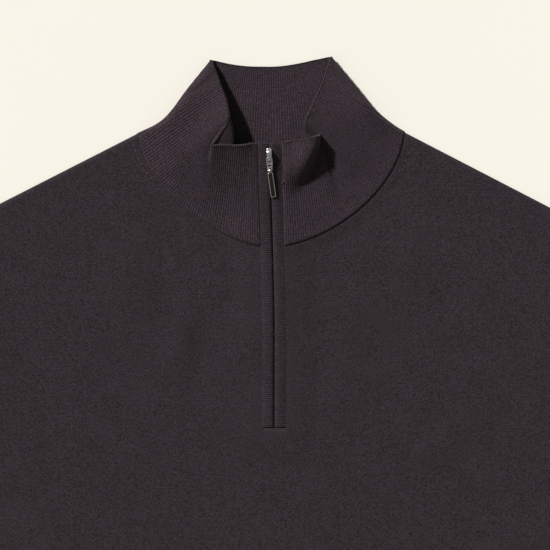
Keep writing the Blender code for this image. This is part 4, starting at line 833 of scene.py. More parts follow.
def shell(name, middle, normal, outer, inner, flat_u, flat_v, material, closed=0.0,
          end_radius=(0.8, 0.8), mirrored=False):
    """A closed wall of cloth about its middle, a grid of rows by columns. closed is the flat
    step from a tube's last column back to its first.

    outer and inner are the distances from the middle to its two faces. The first and the last
    row end in a rounded edge. flat_u and flat_v are the cloth's own flat coordinates."""
    rows, columns = middle.shape[:2]
    middle = middle.copy()
    loops = []
    flats = []
    ends = {}
    for row, inside, radius in ((0, 1, end_radius[0]), (rows - 1, rows - 2, end_radius[1])):
        way = middle[row] - middle[inside]
        way = unit(way - normal[row] * (way * normal[row]).sum(axis=1, keepdims=True))
        middle[row] = middle[row] - way * radius
        ends[row] = (way, radius)
    for row in range(rows):
        loops.append(middle[row] + normal[row] * outer[row][:, None])
        flats.append((flat_u[row], flat_v[row]))
    for row, turning in ((rows - 1, 1.0), (0, -1.0)):
        way, radius = ends[row]
        for step in range(1, CAP_LOOPS + 1):
            angle = turning * (math.pi / 2 - math.pi * step / (CAP_LOOPS + 1))
            depth = outer[row] if math.sin(angle) > 0 else inner[row]
            loops.append(middle[row] + way * (radius * math.cos(angle))
                         + normal[row] * (depth * math.sin(angle))[:, None])
            reach = radius * math.cos(angle) * (1.0 if row else -1.0)
            flats.append((flat_u[row], flat_v[row] + reach))
        if row:
            for place in range(rows - 1, -1, -1):
                loops.append(middle[place] - normal[place] * inner[place][:, None])
                flats.append((flat_u[place], flat_v[place]))
    count = len(loops)
    points = np.array(loops).reshape(-1, 3)
    faces = grid_faces(count, columns, round_rows=True, round_columns=bool(closed))
    flat = np.stack([np.array(line) for line in zip(*flats)], axis=-1).reshape(-1, 2)
    uv = flat[faces]
    if closed:
        last = faces[:, 0] % columns == columns - 1
        uv[last, 1, 0] = uv[last, 0, 0] + closed
        uv[last, 2, 0] = uv[last, 3, 0] + closed
    else:
        ends_faces = []
        for place in (0, columns - 1):
            ring = np.arange(count) * columns + place
            inner_row = lambda row: rows + CAP_LOOPS + (rows - 1 - row)
            quads = [(ring[row], ring[row + 1], ring[inner_row(row + 1)], ring[inner_row(row)])
                     for row in range(rows - 1)]
            for first in (rows - 1, rows + CAP_LOOPS + rows - 1):
                quads += filled([ring[(first + step) % count] for step in range(CAP_LOOPS + 2)])
            quads = np.array(quads)
            ends_faces.append(quads if place == 0 else quads[:, ::-1])
        extra = np.vstack(ends_faces)
        faces = np.vstack([faces, extra])
        uv = np.concatenate([uv, flat[extra]])
    if mirrored:
        points = points * (-1.0, 1.0, 1.0)
    return make_piece(name, points, faces, uv, material)


# ------------------------------------------------------------------ collar

def collar_rows(stations):
    """Rows along each rib, closer together round the side crease and at the top edge."""
    fine = np.linspace(0.0, 1.0, FINE_POINTS)
    rows = []
    for station in stations:
        half = COLLAR_LEFT if station <= HALF_RIBS else COLLAR_RIGHT
        crossing = float(half.crossing(min(station, 2 * HALF_RIBS - station)))
        crowd = 1.0
        for place, (more, reach) in ((crossing, CREASE_CROWDING), (1.0, RIM_CROWDING)):
            crowd = crowd + more * np.exp(-((fine - place) / reach) ** 2)
        along = np.cumsum(crowd) - crowd[0]
        rows.append(np.interp(ROW_PLACES, along / along[-1], fine))
    return np.array(rows).T


def dimpled_collar(stations, parts):
    """The collar's wall with the soft dimples of its laid front."""
    middle = collar_surface(stations, parts)
    front = smooth((middle[:, 2] - DIMPLES_FROM[0]) / DIMPLES_FROM[1])
    middle[:, 2] += ridge_height(middle[:, 0], middle[:, 1], COLLAR_DIMPLES) * front
    return middle


def crest_height(x, y, rib):
    """How far the right flap stands above the cloth beyond its side."""
    at_y = column(FLAP_CREST, CREST_COLUMNS, "y")
    foot, height, drop = (np.interp(y, at_y, column(FLAP_CREST, CREST_COLUMNS, name))
                          for name in ("x", "height", "drop_width"))
    off = x - foot
    fallen = 1.0 - smooth((off + drop) / drop)
    behind = np.exp(-(np.minimum(off + drop, 0.0) / CREST_BACK) ** 2)
    return height * fallen * behind * (1.0 - smooth((rib - CREST_RIBS[0]) / CREST_RIBS[1]))


def fold_inside(material):
    """The collar's inner side where its left edge folds open over the neck."""
    ribs = column(FOLD_INSIDE, FOLD_INSIDE_COLUMNS, "rib")
    count = round((ribs[-1] - ribs[0]) * FOLD_INSIDE_PITCH) * COLUMNS_PER_RIB
    stations = np.linspace(ribs[0], ribs[-1], count + 1)
    within, edge = (collar_surface(stations, np.full(len(stations), part))
                    - (0.0, 0.0, FOLD_INSIDE_DEPTH) for part in (FOLD_INSIDE_FROM, 1.0))
    far = np.stack([eased_curve(ribs, column(FOLD_INSIDE, FOLD_INSIDE_COLUMNS, name), stations)
                    for name in ("far_x", "far_y", "far_z")], axis=1)
    knots = np.array([within] + [edge + (far - edge) * share + beyond
                                 for share, *beyond in FOLD_INSIDE_SECTION])
    places = np.linspace(0.0, len(knots) - 1.0, FOLD_INSIDE_ROWS)
    count = np.arange(len(knots))
    middle = np.stack([np.stack([eased_curve(count, line, places) for line in knots[:, at].T],
                                axis=-1) for at in range(len(stations))], axis=1)
    normal = unit(np.cross(np.gradient(middle, axis=1), np.gradient(middle, axis=0)))
    if normal[..., 2].mean() < 0.0:
        normal = -normal
    across = np.broadcast_to((stations - ribs[0]) * FOLD_INSIDE_PITCH, middle.shape[:2])
    outer = FOLD_INSIDE_WALL + FOLD_INSIDE_RIB * rib_profile(across)
    inner = np.full(across.shape, FOLD_INSIDE_WALL)
    return shell("collar_fold_inside", middle, normal, outer, inner, across, measured(middle),
                 material, end_radius=(FOLD_INSIDE_RIB, FOLD_INSIDE_RIB))


def picked(piece, *parts):
    """Selects the given pieces alone, with the first of them active."""
    bpy.ops.object.select_all(action="DESELECT")
    for each in (piece,) + parts:
        each.select_set(True)
    bpy.context.view_layer.objects.active = piece
    return piece


def joined(piece, *parts):
    """piece with the parts joined into it."""
    picked(piece, *parts)
    bpy.ops.object.join()
    return piece


def raised_stitches(places, material):
    """Small loops of yarn that stand up from the cloth, each a pair of leaning strands."""
    strands = []
    for x, y, z, turn in places:
        middle = (Vector((x, y, z)) + Vector(GARMENT_AT)) * MM
        for lean in (-STITCH_LEAN, STITCH_LEAN):
            aside = Vector((math.cos(math.radians(turn)), math.sin(math.radians(turn)), 0.0))
            strand = started(
                bpy.ops.mesh.primitive_uv_sphere_add, segments=12, ring_count=8, radius=MM,
                location=middle - aside * (STITCH_APART * lean / STITCH_LEAN * MM),
                rotation=(0.0, 0.0, math.radians(turn + lean)),
                scale=(STITCH_THICK, STITCH_LONG / 2, STITCH_THICK))
            bpy.ops.object.shade_smooth()
            strand.data.uv_layers[0].name = "cloth"
            strand.data.materials.append(material)
            strands.append(strand)
    return joined(*strands)


def build_collar(material, light):
    whole = 2 * HALF_RIBS
    stations = np.linspace(0.0, whole, whole * COLUMNS_PER_RIB + 1)
    parts = collar_rows(stations)
    across = np.broadcast_to(stations, parts.shape)
    middle = dimpled_collar(across.ravel(), parts.ravel())
    inside = np.clip(across.ravel(), NORMAL_STEP, whole - NORMAL_STEP)
    normal = wall_normals(dimpled_collar, inside, parts.ravel(), 0.05, 0.01)
    middle, normal = (vectors.reshape(parts.shape + (3,)) for vectors in (middle, normal))
    up_rib = measured(middle)
    tucked = smooth(up_rib / TUCK_REACH)
    front = smooth((middle[..., 2] - FRONT_FROM[0]) / FRONT_FROM[1])
    middle[..., 2] -= TUCK_DROP * (1.0 - tucked) * front
    by_zip = smooth(parts / ZIP_SIDE_MORE_PART) * (across > whole / 2)
    from_edge = np.clip(np.minimum(across, whole - across)
                        / (ZIP_SIDE_RIBS + ZIP_SIDE_MORE_RIBS * by_zip), 0.0, 1.0)
    rounding = ((ZIP_SIDE_DROP + ZIP_SIDE_MORE_DROP * by_zip)
                * (1.0 - np.sqrt(1.0 - (1.0 - from_edge) ** 2)))
    rim = np.exp(-((up_rib[-1] - up_rib) / RIM_ROLL_REACH) ** 2)
    standing = SEAM_RIB_SHARE + (1.0 - SEAM_RIB_SHARE) * tucked
    outer = (COLLAR_WALL / 2 - rounding + RIM_ROLL * rim
             + COLLAR_RIB_HEIGHT * rib_profile(across) * standing)
    inner = COLLAR_INNER + COLLAR_INNER_RIB * rib_profile(across + 0.5) + RIM_ROLL / 2 * rim
    piece = shell("rib_collar", middle, normal, outer, inner, across, up_rib, material,
                  end_radius=(COLLAR_CORNER, COLLAR_RIM))
    tack = [(x, y, collar_level(x, y, 1) + TACK_LIFT, turn) for x, y, turn in TACK_STITCHES]
    joined(piece, fold_inside(material))
    # The tack's stitches take the lighter yarn of its own thread.
    joined(piece, raised_stitches(tack, light))
    dress(piece, "collar", grid_area(middle))
    return piece


def grid_area(middle):
    """Area of a grid of points, in square millimetres."""
    first = middle[1:, 1:] - middle[:-1, :-1]
    second = middle[1:, :-1] - middle[:-1, 1:]
    return float(np.linalg.norm(np.cross(first, second), axis=2).sum() / 2)


# ------------------------------------------------------------------ the laid body

def ridge_height(x, y, folds):
    """Sum of soft ridges and troughs, each a line that fades at both ends."""
    total = np.zeros(np.shape(x))
    for row in folds:
        fold = dict(zip(FOLD_COLUMNS, row))
        first = np.array([fold["from_x"], fold["from_y"]])
        along = np.array([fold["to_x"], fold["to_y"]]) - first
        length = lengths(along)
        along = along / length
        run = ((x - first[0]) * along[0] + (y - first[1]) * along[1]) / length
        off = (x - first[0]) * along[1] - (y - first[1]) * along[0]
        fade = np.sin(math.pi * np.clip(run, 0.0, 1.0)) ** 2
        total += fold["height"] * fade * np.exp(-(off / fold["half_width"]) ** 2)
    return total


NECK_SEAM = np.vstack([front_neck_curve(-1)[::-10], front_neck_curve(1)[::10]])


def front_level(x, y):
    """Height of the middle of the front's cloth, away from its rolled edges."""
    plan = np.column_stack([np.ravel(x), np.ravel(y)])
    near_neck = 1.0 - smooth(nearest_gap(plan, NECK_SEAM) / NECK_RISE_REACH)
    return (FRONT_MIDDLE + over_tape(x, y) + ridge_height(x, y, FRONT_FOLDS)
            + ridge_height(x, y, FRONT_CREASES) + NECK_RISE * near_neck.reshape(np.shape(x)))


def armhole_x(y):
    return eased_curve(*zip(*ARMHOLE), y)


def armhole_point(part):
    """Along the armhole: 0 at the underarm, 1 at the shoulder."""
    y = UNDERARM_Y + (SHOULDER_Y - UNDERARM_Y) * np.asarray(part, float)
    return np.stack([armhole_x(y), y], axis=-1)


def side_outline(inset, at_y):
    """Right side seam and armhole at the given heights."""
    part = (at_y - HEM_SEAM_Y) / (UNDERARM_Y - HEM_SEAM_Y)
    swell = HEM_TOP_HALF_WIDTH + (CHEST_HALF_WIDTH - HEM_TOP_HALF_WIDTH) * smooth(part)
    up = (at_y - UNDERARM_Y) / (SHOULDER_Y - UNDERARM_Y)
    fading = inset * np.clip(1.0 - up / UNDERARM_EASE, 0.0, 1.0)
    x = np.where(at_y <= UNDERARM_Y, swell - inset,
                 armhole_x(np.maximum(at_y, UNDERARM_Y)) - fading)
    return np.stack([x, at_y], axis=-1)


def neck_edge(curve, count, crowding, overlap=0.0):
    """A neckline's points moved out to the body's side of the seam, closer together towards the
    shoulder."""
    along = measured(curve)
    places = along[-1] * (1.0 - np.linspace(1.0, 0.0, count) ** crowding)
    dense = np.linspace(0.0, along[-1], NECK_STEPS)
    path = at_places(curve, along, dense)
    tangent = np.gradient(path, axis=0)
    normal = unit(np.stack([tangent[:, 1], -tangent[:, 0]], axis=1))
    down = np.where(normal[:, 1:2] > 0, -1.0, 1.0)
    gap = NECK_GAP - overlap * smooth(-path[:, 0] / NECK_OVERLAP_FROM - 1.0)
    return at_places(path + normal * down * gap[:, None], dense, places)


def nearest_gap(plan, path):
    """Distance from each plan point to a path of straight runs."""
    best = np.full(len(plan), np.inf)
    for first, last in zip(path[:-1], path[1:]):
        run = last - first
        part = np.clip(((plan - first) @ run) / (run @ run), 0.0, 1.0)
        best = np.minimum(best, lengths(plan - first - part[:, None] * run))
    return best


def turned_edge(plan):
    """1 at the front's side and shoulder edges, falling to 0 where their turn begins."""
    side = side_outline(0.0, np.linspace(HEM_HEIGHT - BODY_LENGTH, UNDERARM_Y, 24))
    mirrored = np.column_stack([np.abs(plan[:, 0]), plan[:, 1]])
    gap = nearest_gap(mirrored, side)
    for turn, rise in zip((-1, 1), SHOULDER_RISE):
        shoulder = np.array([(turn * NECK_HALF_WIDTH, NECK_POINT_Y + rise),
                             (turn * SHOULDER_HALF_WIDTH, SHOULDER_Y)])
        gap = np.minimum(gap, nearest_gap(plan, shoulder))
    return 1.0 - np.clip(gap / EDGE_ROLL, 0.0, 1.0)


def paired_heights(path, start):
    """Heights for the side's points that keep step with a path on the inner side."""
    along = measured(path)
    first = along[start]
    share = np.clip((along - first) / (along[-1] - first), 0.0, 1.0)
    rising = UNDERARM_Y + (SHOULDER_Y - UNDERARM_Y) * share
    return np.where(np.arange(len(path)) < start, path[:, 1], rising)


def across_row(first, last, count, near, far):
    """Plan points from first to last with extra ones at small distances from both ends."""
    length = lengths(last - first)
    steps = np.concatenate([near, np.linspace(near[-1] + ROW_STEP, length - far[0] - ROW_STEP,
                                              count), length - np.array(far)])
    return first + (last - first) * (steps / length)[:, None]


def panel(name, grids, top, bottom, material):
    """A laid panel from grids of plan points that share their edges."""
    quads = []
    total = 0
    for grid in grids:
        rows, columns = grid.shape[:2]
        quads.append(grid_faces(rows, columns) + total)
        total += rows * columns
    plan = np.vstack([grid.reshape(-1, 2) for grid in grids])
    known, index = np.unique(np.round(plan, 3), axis=0, return_inverse=True)
    faces = index.reshape(-1)[np.vstack(quads)]
    x, y = known[faces][..., 0], known[faces][..., 1]
    turn = ((x * np.roll(y, -1, axis=1)) - (np.roll(x, -1, axis=1) * y)).sum(axis=1)
    faces = np.where((turn > 0)[:, None], faces, faces[:, ::-1])
    count = len(known)
    starts, ends = faces.ravel(), np.roll(faces, -1, axis=1).ravel()
    open_side = ~np.isin(starts * count + ends, ends * count + starts)
    starts, ends = starts[open_side], ends[open_side]
    walls = np.stack([starts, starts + count, ends + count, ends], axis=1)
    every = np.vstack([faces, faces[:, ::-1] + count, walls])
    points = np.vstack([top(known), bottom(known)])
    piece = make_piece(name, points, every, np.vstack([known, known])[every], material)
    return piece, float(np.abs(turn).sum() / 2)


def front_grids(side):
    """The front's half: beside the slot and below it, up to the neckline and the shoulder."""
    foot = ZIP_BOTTOM_Y - SEAM_GAP
    seam = neck_edge(front_neck_curve(side), NECK_ROWS, NECK_CROWDING, NECK_OVERLAP)
    seam[0, 0] = zip_x(seam[0, 1]) + side * SLOT_HALF_WIDTH
    corner = np.array([side * (NECK_HALF_WIDTH + SHOULDER_START),
                       NECK_POINT_Y + SHOULDER_RISE[side > 0]])
    shoulder = np.array([SHOULDER_HALF_WIDTH - NECK_HALF_WIDTH, SHOULDER_Y - NECK_POINT_Y])
    rolls = np.array(ROLL_STEPS[:-1]) * (lengths(shoulder) / shoulder[0])
    roll_y = corner[1] - rolls
    neck = seam[seam[:, 1] < roll_y[0] - LAST_NECK_STEP]
    low_y = np.concatenate([np.linspace(HEM_SEAM_Y, EVEN_ROWS_FROM, FRONT_LOW_ROWS)[:-1],
                            np.linspace(EVEN_ROWS_FROM, foot, FRONT_LOW_ROWS)])
    straight = np.concatenate([low_y, np.linspace(foot, neck[0, 1], SLOT_ROWS)[1:-1]])
    slot = np.column_stack([zip_x(straight) + side * SLOT_HALF_WIDTH, straight])
    roll_x = np.interp(roll_y, seam[-20:, 1], seam[-20:, 0])
    inner = np.vstack([slot, neck, np.column_stack([roll_x, roll_y]), corner])
    start = int(np.searchsorted(straight, UNDERARM_Y))
    heights = paired_heights(inner, start)
    rolled = slice(-len(rolls) - 1, -1)
    below = slice(start, -len(rolls) - 1)
    top = SHOULDER_Y - rolls[0] - LAST_SIDE_STEP
    heights[below] = UNDERARM_Y + ((heights[below] - UNDERARM_Y) * (top - UNDERARM_Y)
                                   / (heights[below][-1] - UNDERARM_Y))
    heights[rolled] = SHOULDER_Y - rolls
    outer = side_outline(0.0, heights)
    outer[:, 0] *= side
    main = np.array([across_row(first, last, FRONT_COLUMNS, NEAR_STEPS, ROLL_STEPS)
                     for first, last in zip(inner, outer)])
    middle = np.column_stack([zip_x(low_y), low_y])
    shares = np.linspace(0.0, 1.0, BELOW_SLOT_COLUMNS)[:, None]
    below_slot = np.array([first + (last - first) * shares
                           for first, last in zip(middle, inner[:len(low_y)])])
    return [main, below_slot]


def build_front(material, light):
    def top(plan):
        lift = PANEL_WALL / 2 - EDGE_DROP * turned_edge(plan) ** 2
        return np.column_stack([plan, front_level(*plan.T) + lift])

    def bottom(plan):
        drop = PANEL_WALL / 2 + EDGE_DROP * turned_edge(plan) ** 1.5
        return np.column_stack([plan, front_level(*plan.T) - drop])

    piece, area = panel("knit_front", front_grids(-1) + front_grids(1), top, bottom, material)
    marks = [(x, y, float(front_level(x, y)) + PANEL_WALL / 2, turn)
             for x, y, turn in FASHIONING_MARKS]
    # The fashioning knots take the lighter yarn, a painted highlight where their loops stand up.
    joined(piece, raised_stitches(marks, light))
    dress(piece, "front", area)
    return piece


def back_grids(side):
    """The back's half, which stays inside the front's rolled edges."""
    curve = back_neck_curve(side)[::-1]
    fall = math.atan2(NECK_POINT_Y - SHOULDER_Y, SHOULDER_HALF_WIDTH - NECK_HALF_WIDTH)
    inside = ((NECK_HALF_WIDTH - np.abs(curve[:, 0])) * math.sin(fall)
              + (NECK_POINT_Y - curve[:, 1]) * math.cos(fall))
    neck = neck_edge(curve[inside > BACK_INSET], BACK_NECK_ROWS, NECK_CROWDING)
    neck[0] = (0.0, BACK_NECK_Y - SEAM_GAP)
    low_y = np.linspace(HEM_SEAM_Y, neck[0, 1], BACK_ROWS)[:-1]
    inner = np.vstack([np.column_stack([np.zeros(len(low_y)), low_y]), neck])
    start = int(np.searchsorted(low_y, UNDERARM_Y))
    heights = paired_heights(inner, start)
    share = (heights[start:] - UNDERARM_Y) / (SHOULDER_Y - UNDERARM_Y)
    top_y = SHOULDER_Y - BACK_INSET / math.cos(fall)
    heights[start:] = UNDERARM_Y + (top_y - UNDERARM_Y) * share
    outer = side_outline(BACK_INSET, heights)
    outer[:, 0] *= side
    return [np.array([across_row(first, last, BACK_COLUMNS, BACK_STEPS, BACK_STEPS[::-1])
                      for first, last in zip(inner, outer)])]


def build_back(material):
    def top(plan):
        return bottom(plan) + (0.0, 0.0, BACK_WALL)

    def bottom(plan):
        return np.column_stack([plan, ridge_height(*plan.T, BACK_CREASES)])

    piece, area = panel("knit_back", back_grids(-1) + back_grids(1), top, bottom, material)
    dress(piece, "back", area)
    return piece


# ------------------------------------------------------------------ laid tubes: sleeves, bands

class LaidTube:
    """A knitted tube pressed flat: two layers joined by a tight turn along each edge.

    first_edge and last_edge give plan points for parts 0 to 1 along the tube; across bends its
    first end to a seam's curve. Stations 0 to 1 cross the top, 1 to 2 turn down, 2 to 3 cross
    the underside and 3 to 4 turn up again."""

    def __init__(self, first_edge, last_edge, wall, seam=None, folds=()):
        self.first_edge = first_edge
        self.last_edge = last_edge
        self.wall = wall
        self.seam = seam
        self.folds = folds       # each a table of folds and the sides that they raise
        self.turn = (wall + TUBE_HOLLOW) / 2

    def plan(self, across, part):
        first = self.first_edge(part)
        last = self.last_edge(part)
        point = first + (last - first) * across[:, None]
        if self.seam is not None:
            bend = self.seam(across) - (self.seam(np.zeros(1)) * (1 - across)[:, None]
                                        + self.seam(np.ones(1)) * across[:, None])
            point = point + bend * (1.0 - smooth(part / SEAM_REACH))[:, None]
        return point

    def across_way(self, across, part):
        """Unit direction across the tube, which at the seam follows the seam's curve."""
        ahead = self.plan(np.minimum(across + ACROSS_STEP, 1.0), part)
        behind = self.plan(np.maximum(across - ACROSS_STEP, 0.0), part)
        return unit(ahead - behind)

    def surface(self, stations, part):
        station = np.mod(stations, 4.0)
        side = np.floor(station).astype(int)
        local = station - side
        across = np.select([side == 0, side == 1, side == 2], [local, 1.0, 1.0 - local], 0.0)
        across = across * np.ones(len(station))
        angle = np.select([side == 1, side == 3], [math.pi / 2 - math.pi * local,
                                                   -math.pi / 2 + math.pi * local], 0.0)
        reach = self.turn * np.cos(angle) - self.wall / 2 - self.turn
        at_first = np.maximum(1.0 - ARMHOLE_STEPS * across, 0.0)
        at_last = np.maximum(1.0 - ARMHOLE_STEPS * (1.0 - across), 0.0)
        level_inset = (at_first - at_last) * (self.wall / 2 + self.turn)
        inset = np.select([side == 1, side == 3], [reach, -reach], level_inset)
        point = self.plan(across, part) + self.across_way(across, part) * inset[:, None]
        centre = self.wall / 2 + self.turn
        height = np.select([side == 0, side == 2], [centre + self.turn, centre - self.turn],
                           centre + self.turn * np.sin(angle))
        for folds, raised in self.folds:
            for *ends, half_width, rise in folds:
                start, end = self.plan(np.array(ends[::2]), np.array(ends[1::2]))
                ridge = ridge_height(*point.T, [(*start, *end, half_width, rise)])
                height = height + np.where(np.isin(side, raised),
                                           ridge * np.sin(math.pi * across), 0.0)
        return np.column_stack([point, height])

    def normals(self, stations, part):
        normal = wall_normals(self.surface, stations, part, 0.01, 0.01)
        corner = np.abs(np.mod(stations, 4.0) - np.round(np.mod(stations, 4.0))) < TINY
        top = self.surface(stations, part)[:, 2] > self.wall / 2 + self.turn
        normal[corner] = np.outer(np.where(top, 1.0, -1.0), (0.0, 0.0, 1.0))[corner]
        if self.seam is not None:
            self.face_seam(normal, stations, part)
        return normal

    def face_seam(self, normal, stations, part):
        """Turn the edges' normals into the seam's plane at the seam itself."""
        local = np.mod(stations, 2.0) - 1.0
        turning = (local > 0.0) & (part <= 0.0)
        last = np.mod(stations, 4.0) < 2.0
        angle = np.where(last, 0.5 - local, local - 0.5) * math.pi
        across = np.where(last, 1.0, 0.0)
        way = self.across_way(across, part) * np.where(last, 1.0, -1.0)[:, None]
        turned = np.column_stack([way * np.cos(angle)[:, None], np.sin(angle)])
        normal[turning] = turned[turning]


def tube_stations(top_steps, ribs):
    """Stations round a tube, and the count of ribs or wales passed at each."""
    stations = []
    counted = []
    passed = 0.0
    for start, (steps, span) in enumerate(((top_steps, ribs), (TURN_STEPS, 1.0)) * 2):
        for step in range(steps):
            stations.append(start + step / steps)
            counted.append(passed + span * step / steps)
        passed += span
    return np.array(stations), np.array(counted)


def build_tube(name, node, tube, material, stations, counted, rows, wall, rib_height,
               lengthwise, closing, mirrored=False):
    """A laid tube of cloth: its grid and its ribs."""
    part = np.linspace(0.0, 1.0, rows)
    across, along = np.meshgrid(stations, part)
    shape = across.shape + (3,)
    middle = tube.surface(across.ravel(), along.ravel()).reshape(shape)
    normal = tube.normals(across.ravel(), along.ravel()).reshape(shape)
    ribs = rib_profile(np.broadcast_to(counted, across.shape)) if rib_height else 0.0
    outer = wall / 2 + rib_height * (ribs - np.clip(-normal[..., 2], 0.0, 1.0))
    inner = np.full(across.shape, wall / 2)
    flat_u = np.broadcast_to(counted, across.shape)
    if not rib_height:
        flat_u = flat_u * np.linspace(1.0, SLEEVE_END_WIDTH / SLEEVE_WALES, rows)[:, None]
    piece = shell(name, middle, normal, outer, inner, flat_u, along * lengthwise, material,
                  closed=closing, end_radius=(0.5, 0.8), mirrored=mirrored)
    ring = np.concatenate([middle, middle[:, :1]], axis=1)
    dress(piece, node, grid_area(ring))
    return piece


def heading(fall):
    """Unit plan direction that falls outwards on the right side."""
    return np.array([math.cos(math.radians(fall)), -math.sin(math.radians(fall))])


def sleeve_outer_edge():
    """Outer edge of the right sleeve: it leaves along the shoulder and turns down."""
    length = SLEEVE_LENGTH - CUFF_HEIGHT
    run = np.linspace(0.0, length, SLEEVE_POINTS)
    fall = SHOULDER_FALL + (SLEEVE_FALL + SLEEVE_TAPER - SHOULDER_FALL) * smooth(run / SLEEVE_TURN)
    step = length / (len(run) - 1)
    moves = np.stack([np.cos(np.radians(fall)), -np.sin(np.radians(fall))], axis=1) * step
    start = np.array([SHOULDER_HALF_WIDTH + SEAM_GAP, SHOULDER_Y])
    return run / length, start + np.vstack([[0.0, 0.0], np.cumsum(moves[1:], axis=0)])


def sleeve_tube():
    parts, outer = sleeve_outer_edge()
    wrist = outer[-1] - heading(SLEEVE_FALL - 90.0) * SLEEVE_END_WIDTH
    underarm = np.array([CHEST_HALF_WIDTH + SEAM_GAP, UNDERARM_Y])

    def outer_edge(part):
        return np.stack([np.interp(part, parts, outer[:, axis]) for axis in (0, 1)], axis=1)

    def under_edge(part):
        return underarm + (wrist - underarm) * part[:, None]

    def armhole(across_part):
        return armhole_point(across_part) + (SEAM_GAP, 0.0)

    return LaidTube(under_edge, outer_edge, PANEL_WALL, armhole,
                    ((SLEEVE_FOLDS, (0,)), (SLEEVE_UNDER_CREASES, (0, 1, 2, 3))))


def cuff_tube():
    outer = sleeve_outer_edge()[1]
    along, across = heading(SLEEVE_FALL), heading(SLEEVE_FALL - 90.0)
    draw_in = (SLEEVE_END_WIDTH - CUFF_WIDTH) / 2
    start_outer = outer[-1] + along * SEAM_GAP - across * draw_in

    def outer_edge(part):
        return start_outer + along * ((CUFF_HEIGHT - SEAM_GAP) * part)[:, None]

    def under_edge(part):
        return outer_edge(part) - across * CUFF_WIDTH

    return LaidTube(under_edge, outer_edge, BAND_WALL)


def hem_tube():
    top = HEM_HEIGHT - BODY_LENGTH

    def edge(side):
        def run(part):
            x = side * (HEM_HALF_WIDTH + HEM_FLARE * (1.0 - part))
            return np.column_stack([x, top - HEM_HEIGHT * part])
        return run

    return LaidTube(edge(-1), edge(1), BAND_WALL)


def build_bands(material):
    """Hem band and cuffs: fine ribs on both faces of a laid tube."""
    for name, node, tube, width, mirrored in (
            ("rib_hem_band", "hem_band", hem_tube(), 2 * HEM_HALF_WIDTH, False),
            ("rib_cuff_right", "cuff_right", cuff_tube(), CUFF_WIDTH, False),
            ("rib_cuff_left", "cuff_left", cuff_tube(), CUFF_WIDTH, True)):
        ribs = round(width / BAND_RIB_PITCH)
        stations, counted = tube_stations(ribs * BAND_COLUMNS, ribs)
        build_tube(name, node, tube, material, stations, counted, BAND_ROWS,
                   BAND_WALL, BAND_RIB_HEIGHT, HEM_HEIGHT, 1 / TURN_STEPS,
                   mirrored)


def build_sleeves(material):
    tube = sleeve_tube()
    stations, counted = tube_stations(SLEEVE_STEPS, SLEEVE_WALES)
    for name, node, mirrored in (("knit_sleeve_right", "sleeve_right", False),
                                 ("knit_sleeve_left", "sleeve_left", True)):
        build_tube(name, node, tube, material, stations, counted, SLEEVE_ROWS,
                   PANEL_WALL, 0.0, SLEEVE_LENGTH - CUFF_HEIGHT, 2.0, mirrored)


# ------------------------------------------------------------------ zip

def zip_level(y):
    """Height of the middle of the cloth beside the zip, up the front and up the collar."""
    y = np.asarray(y, float)
    edge = collar_surface(np.zeros(WALL_POINTS), np.linspace(0.0, 1.0, WALL_POINTS))
    on_front = FRONT_MIDDLE + TAPE_WALL + SEAM_GAP
    on_collar = np.interp(y, edge[:, 1], edge[:, 2]) - EDGING_SINK
    return on_front + (on_collar - on_front) * past_seam(y)


def zip_top_y():
    return float(collar_surface(np.zeros(1), np.ones(1))[0, 1])


def swept(name, sections, flat_u, flat_v, material):
    """A closed bar through rings of points, with an even number of points in each ring."""
    count, around = sections.shape[:2]
    faces = grid_faces(count, around, round_columns=True)
    flat = np.stack([flat_u, flat_v], axis=-1).reshape(-1, 2)
    uv = flat[faces]
    last = faces[:, 0] % around == around - 1
    uv[last, 1] = uv[last, 0]
    uv[last, 2] = uv[last, 3]
    last_ring = range((count - 1) * around, count * around)
    caps = np.array(filled(range(around)) + [quad[::-1] for quad in filled(last_ring)])
    return make_piece(name, sections.reshape(-1, 3), np.vstack([faces, caps]),
                      np.concatenate([uv, flat[caps]]), material)


EDGING_PROFILE = [
    # across, height, rib
    (0.0, 0.1, 0.0), (0.1, 0.0, 0.0), (3.0, 0.0, 0.0), (7.8, 0.0, 0.0), (8.6, 0.3, 0.0),
    (8.95, 0.95, 0.1), (8.75, 1.4, 0.4), (8.2, 1.95, 0.8), (7.2, 2.38, 1.0), (4.8, 2.6, 1.0),
    (2.8, 2.58, 1.0), (1.4, 2.35, 1.0), (0.6, 2.0, 0.9), (0.14, 1.55, 0.7), (0.0, 1.1, 0.2),
    (0.0, 0.6, 0.0),
]


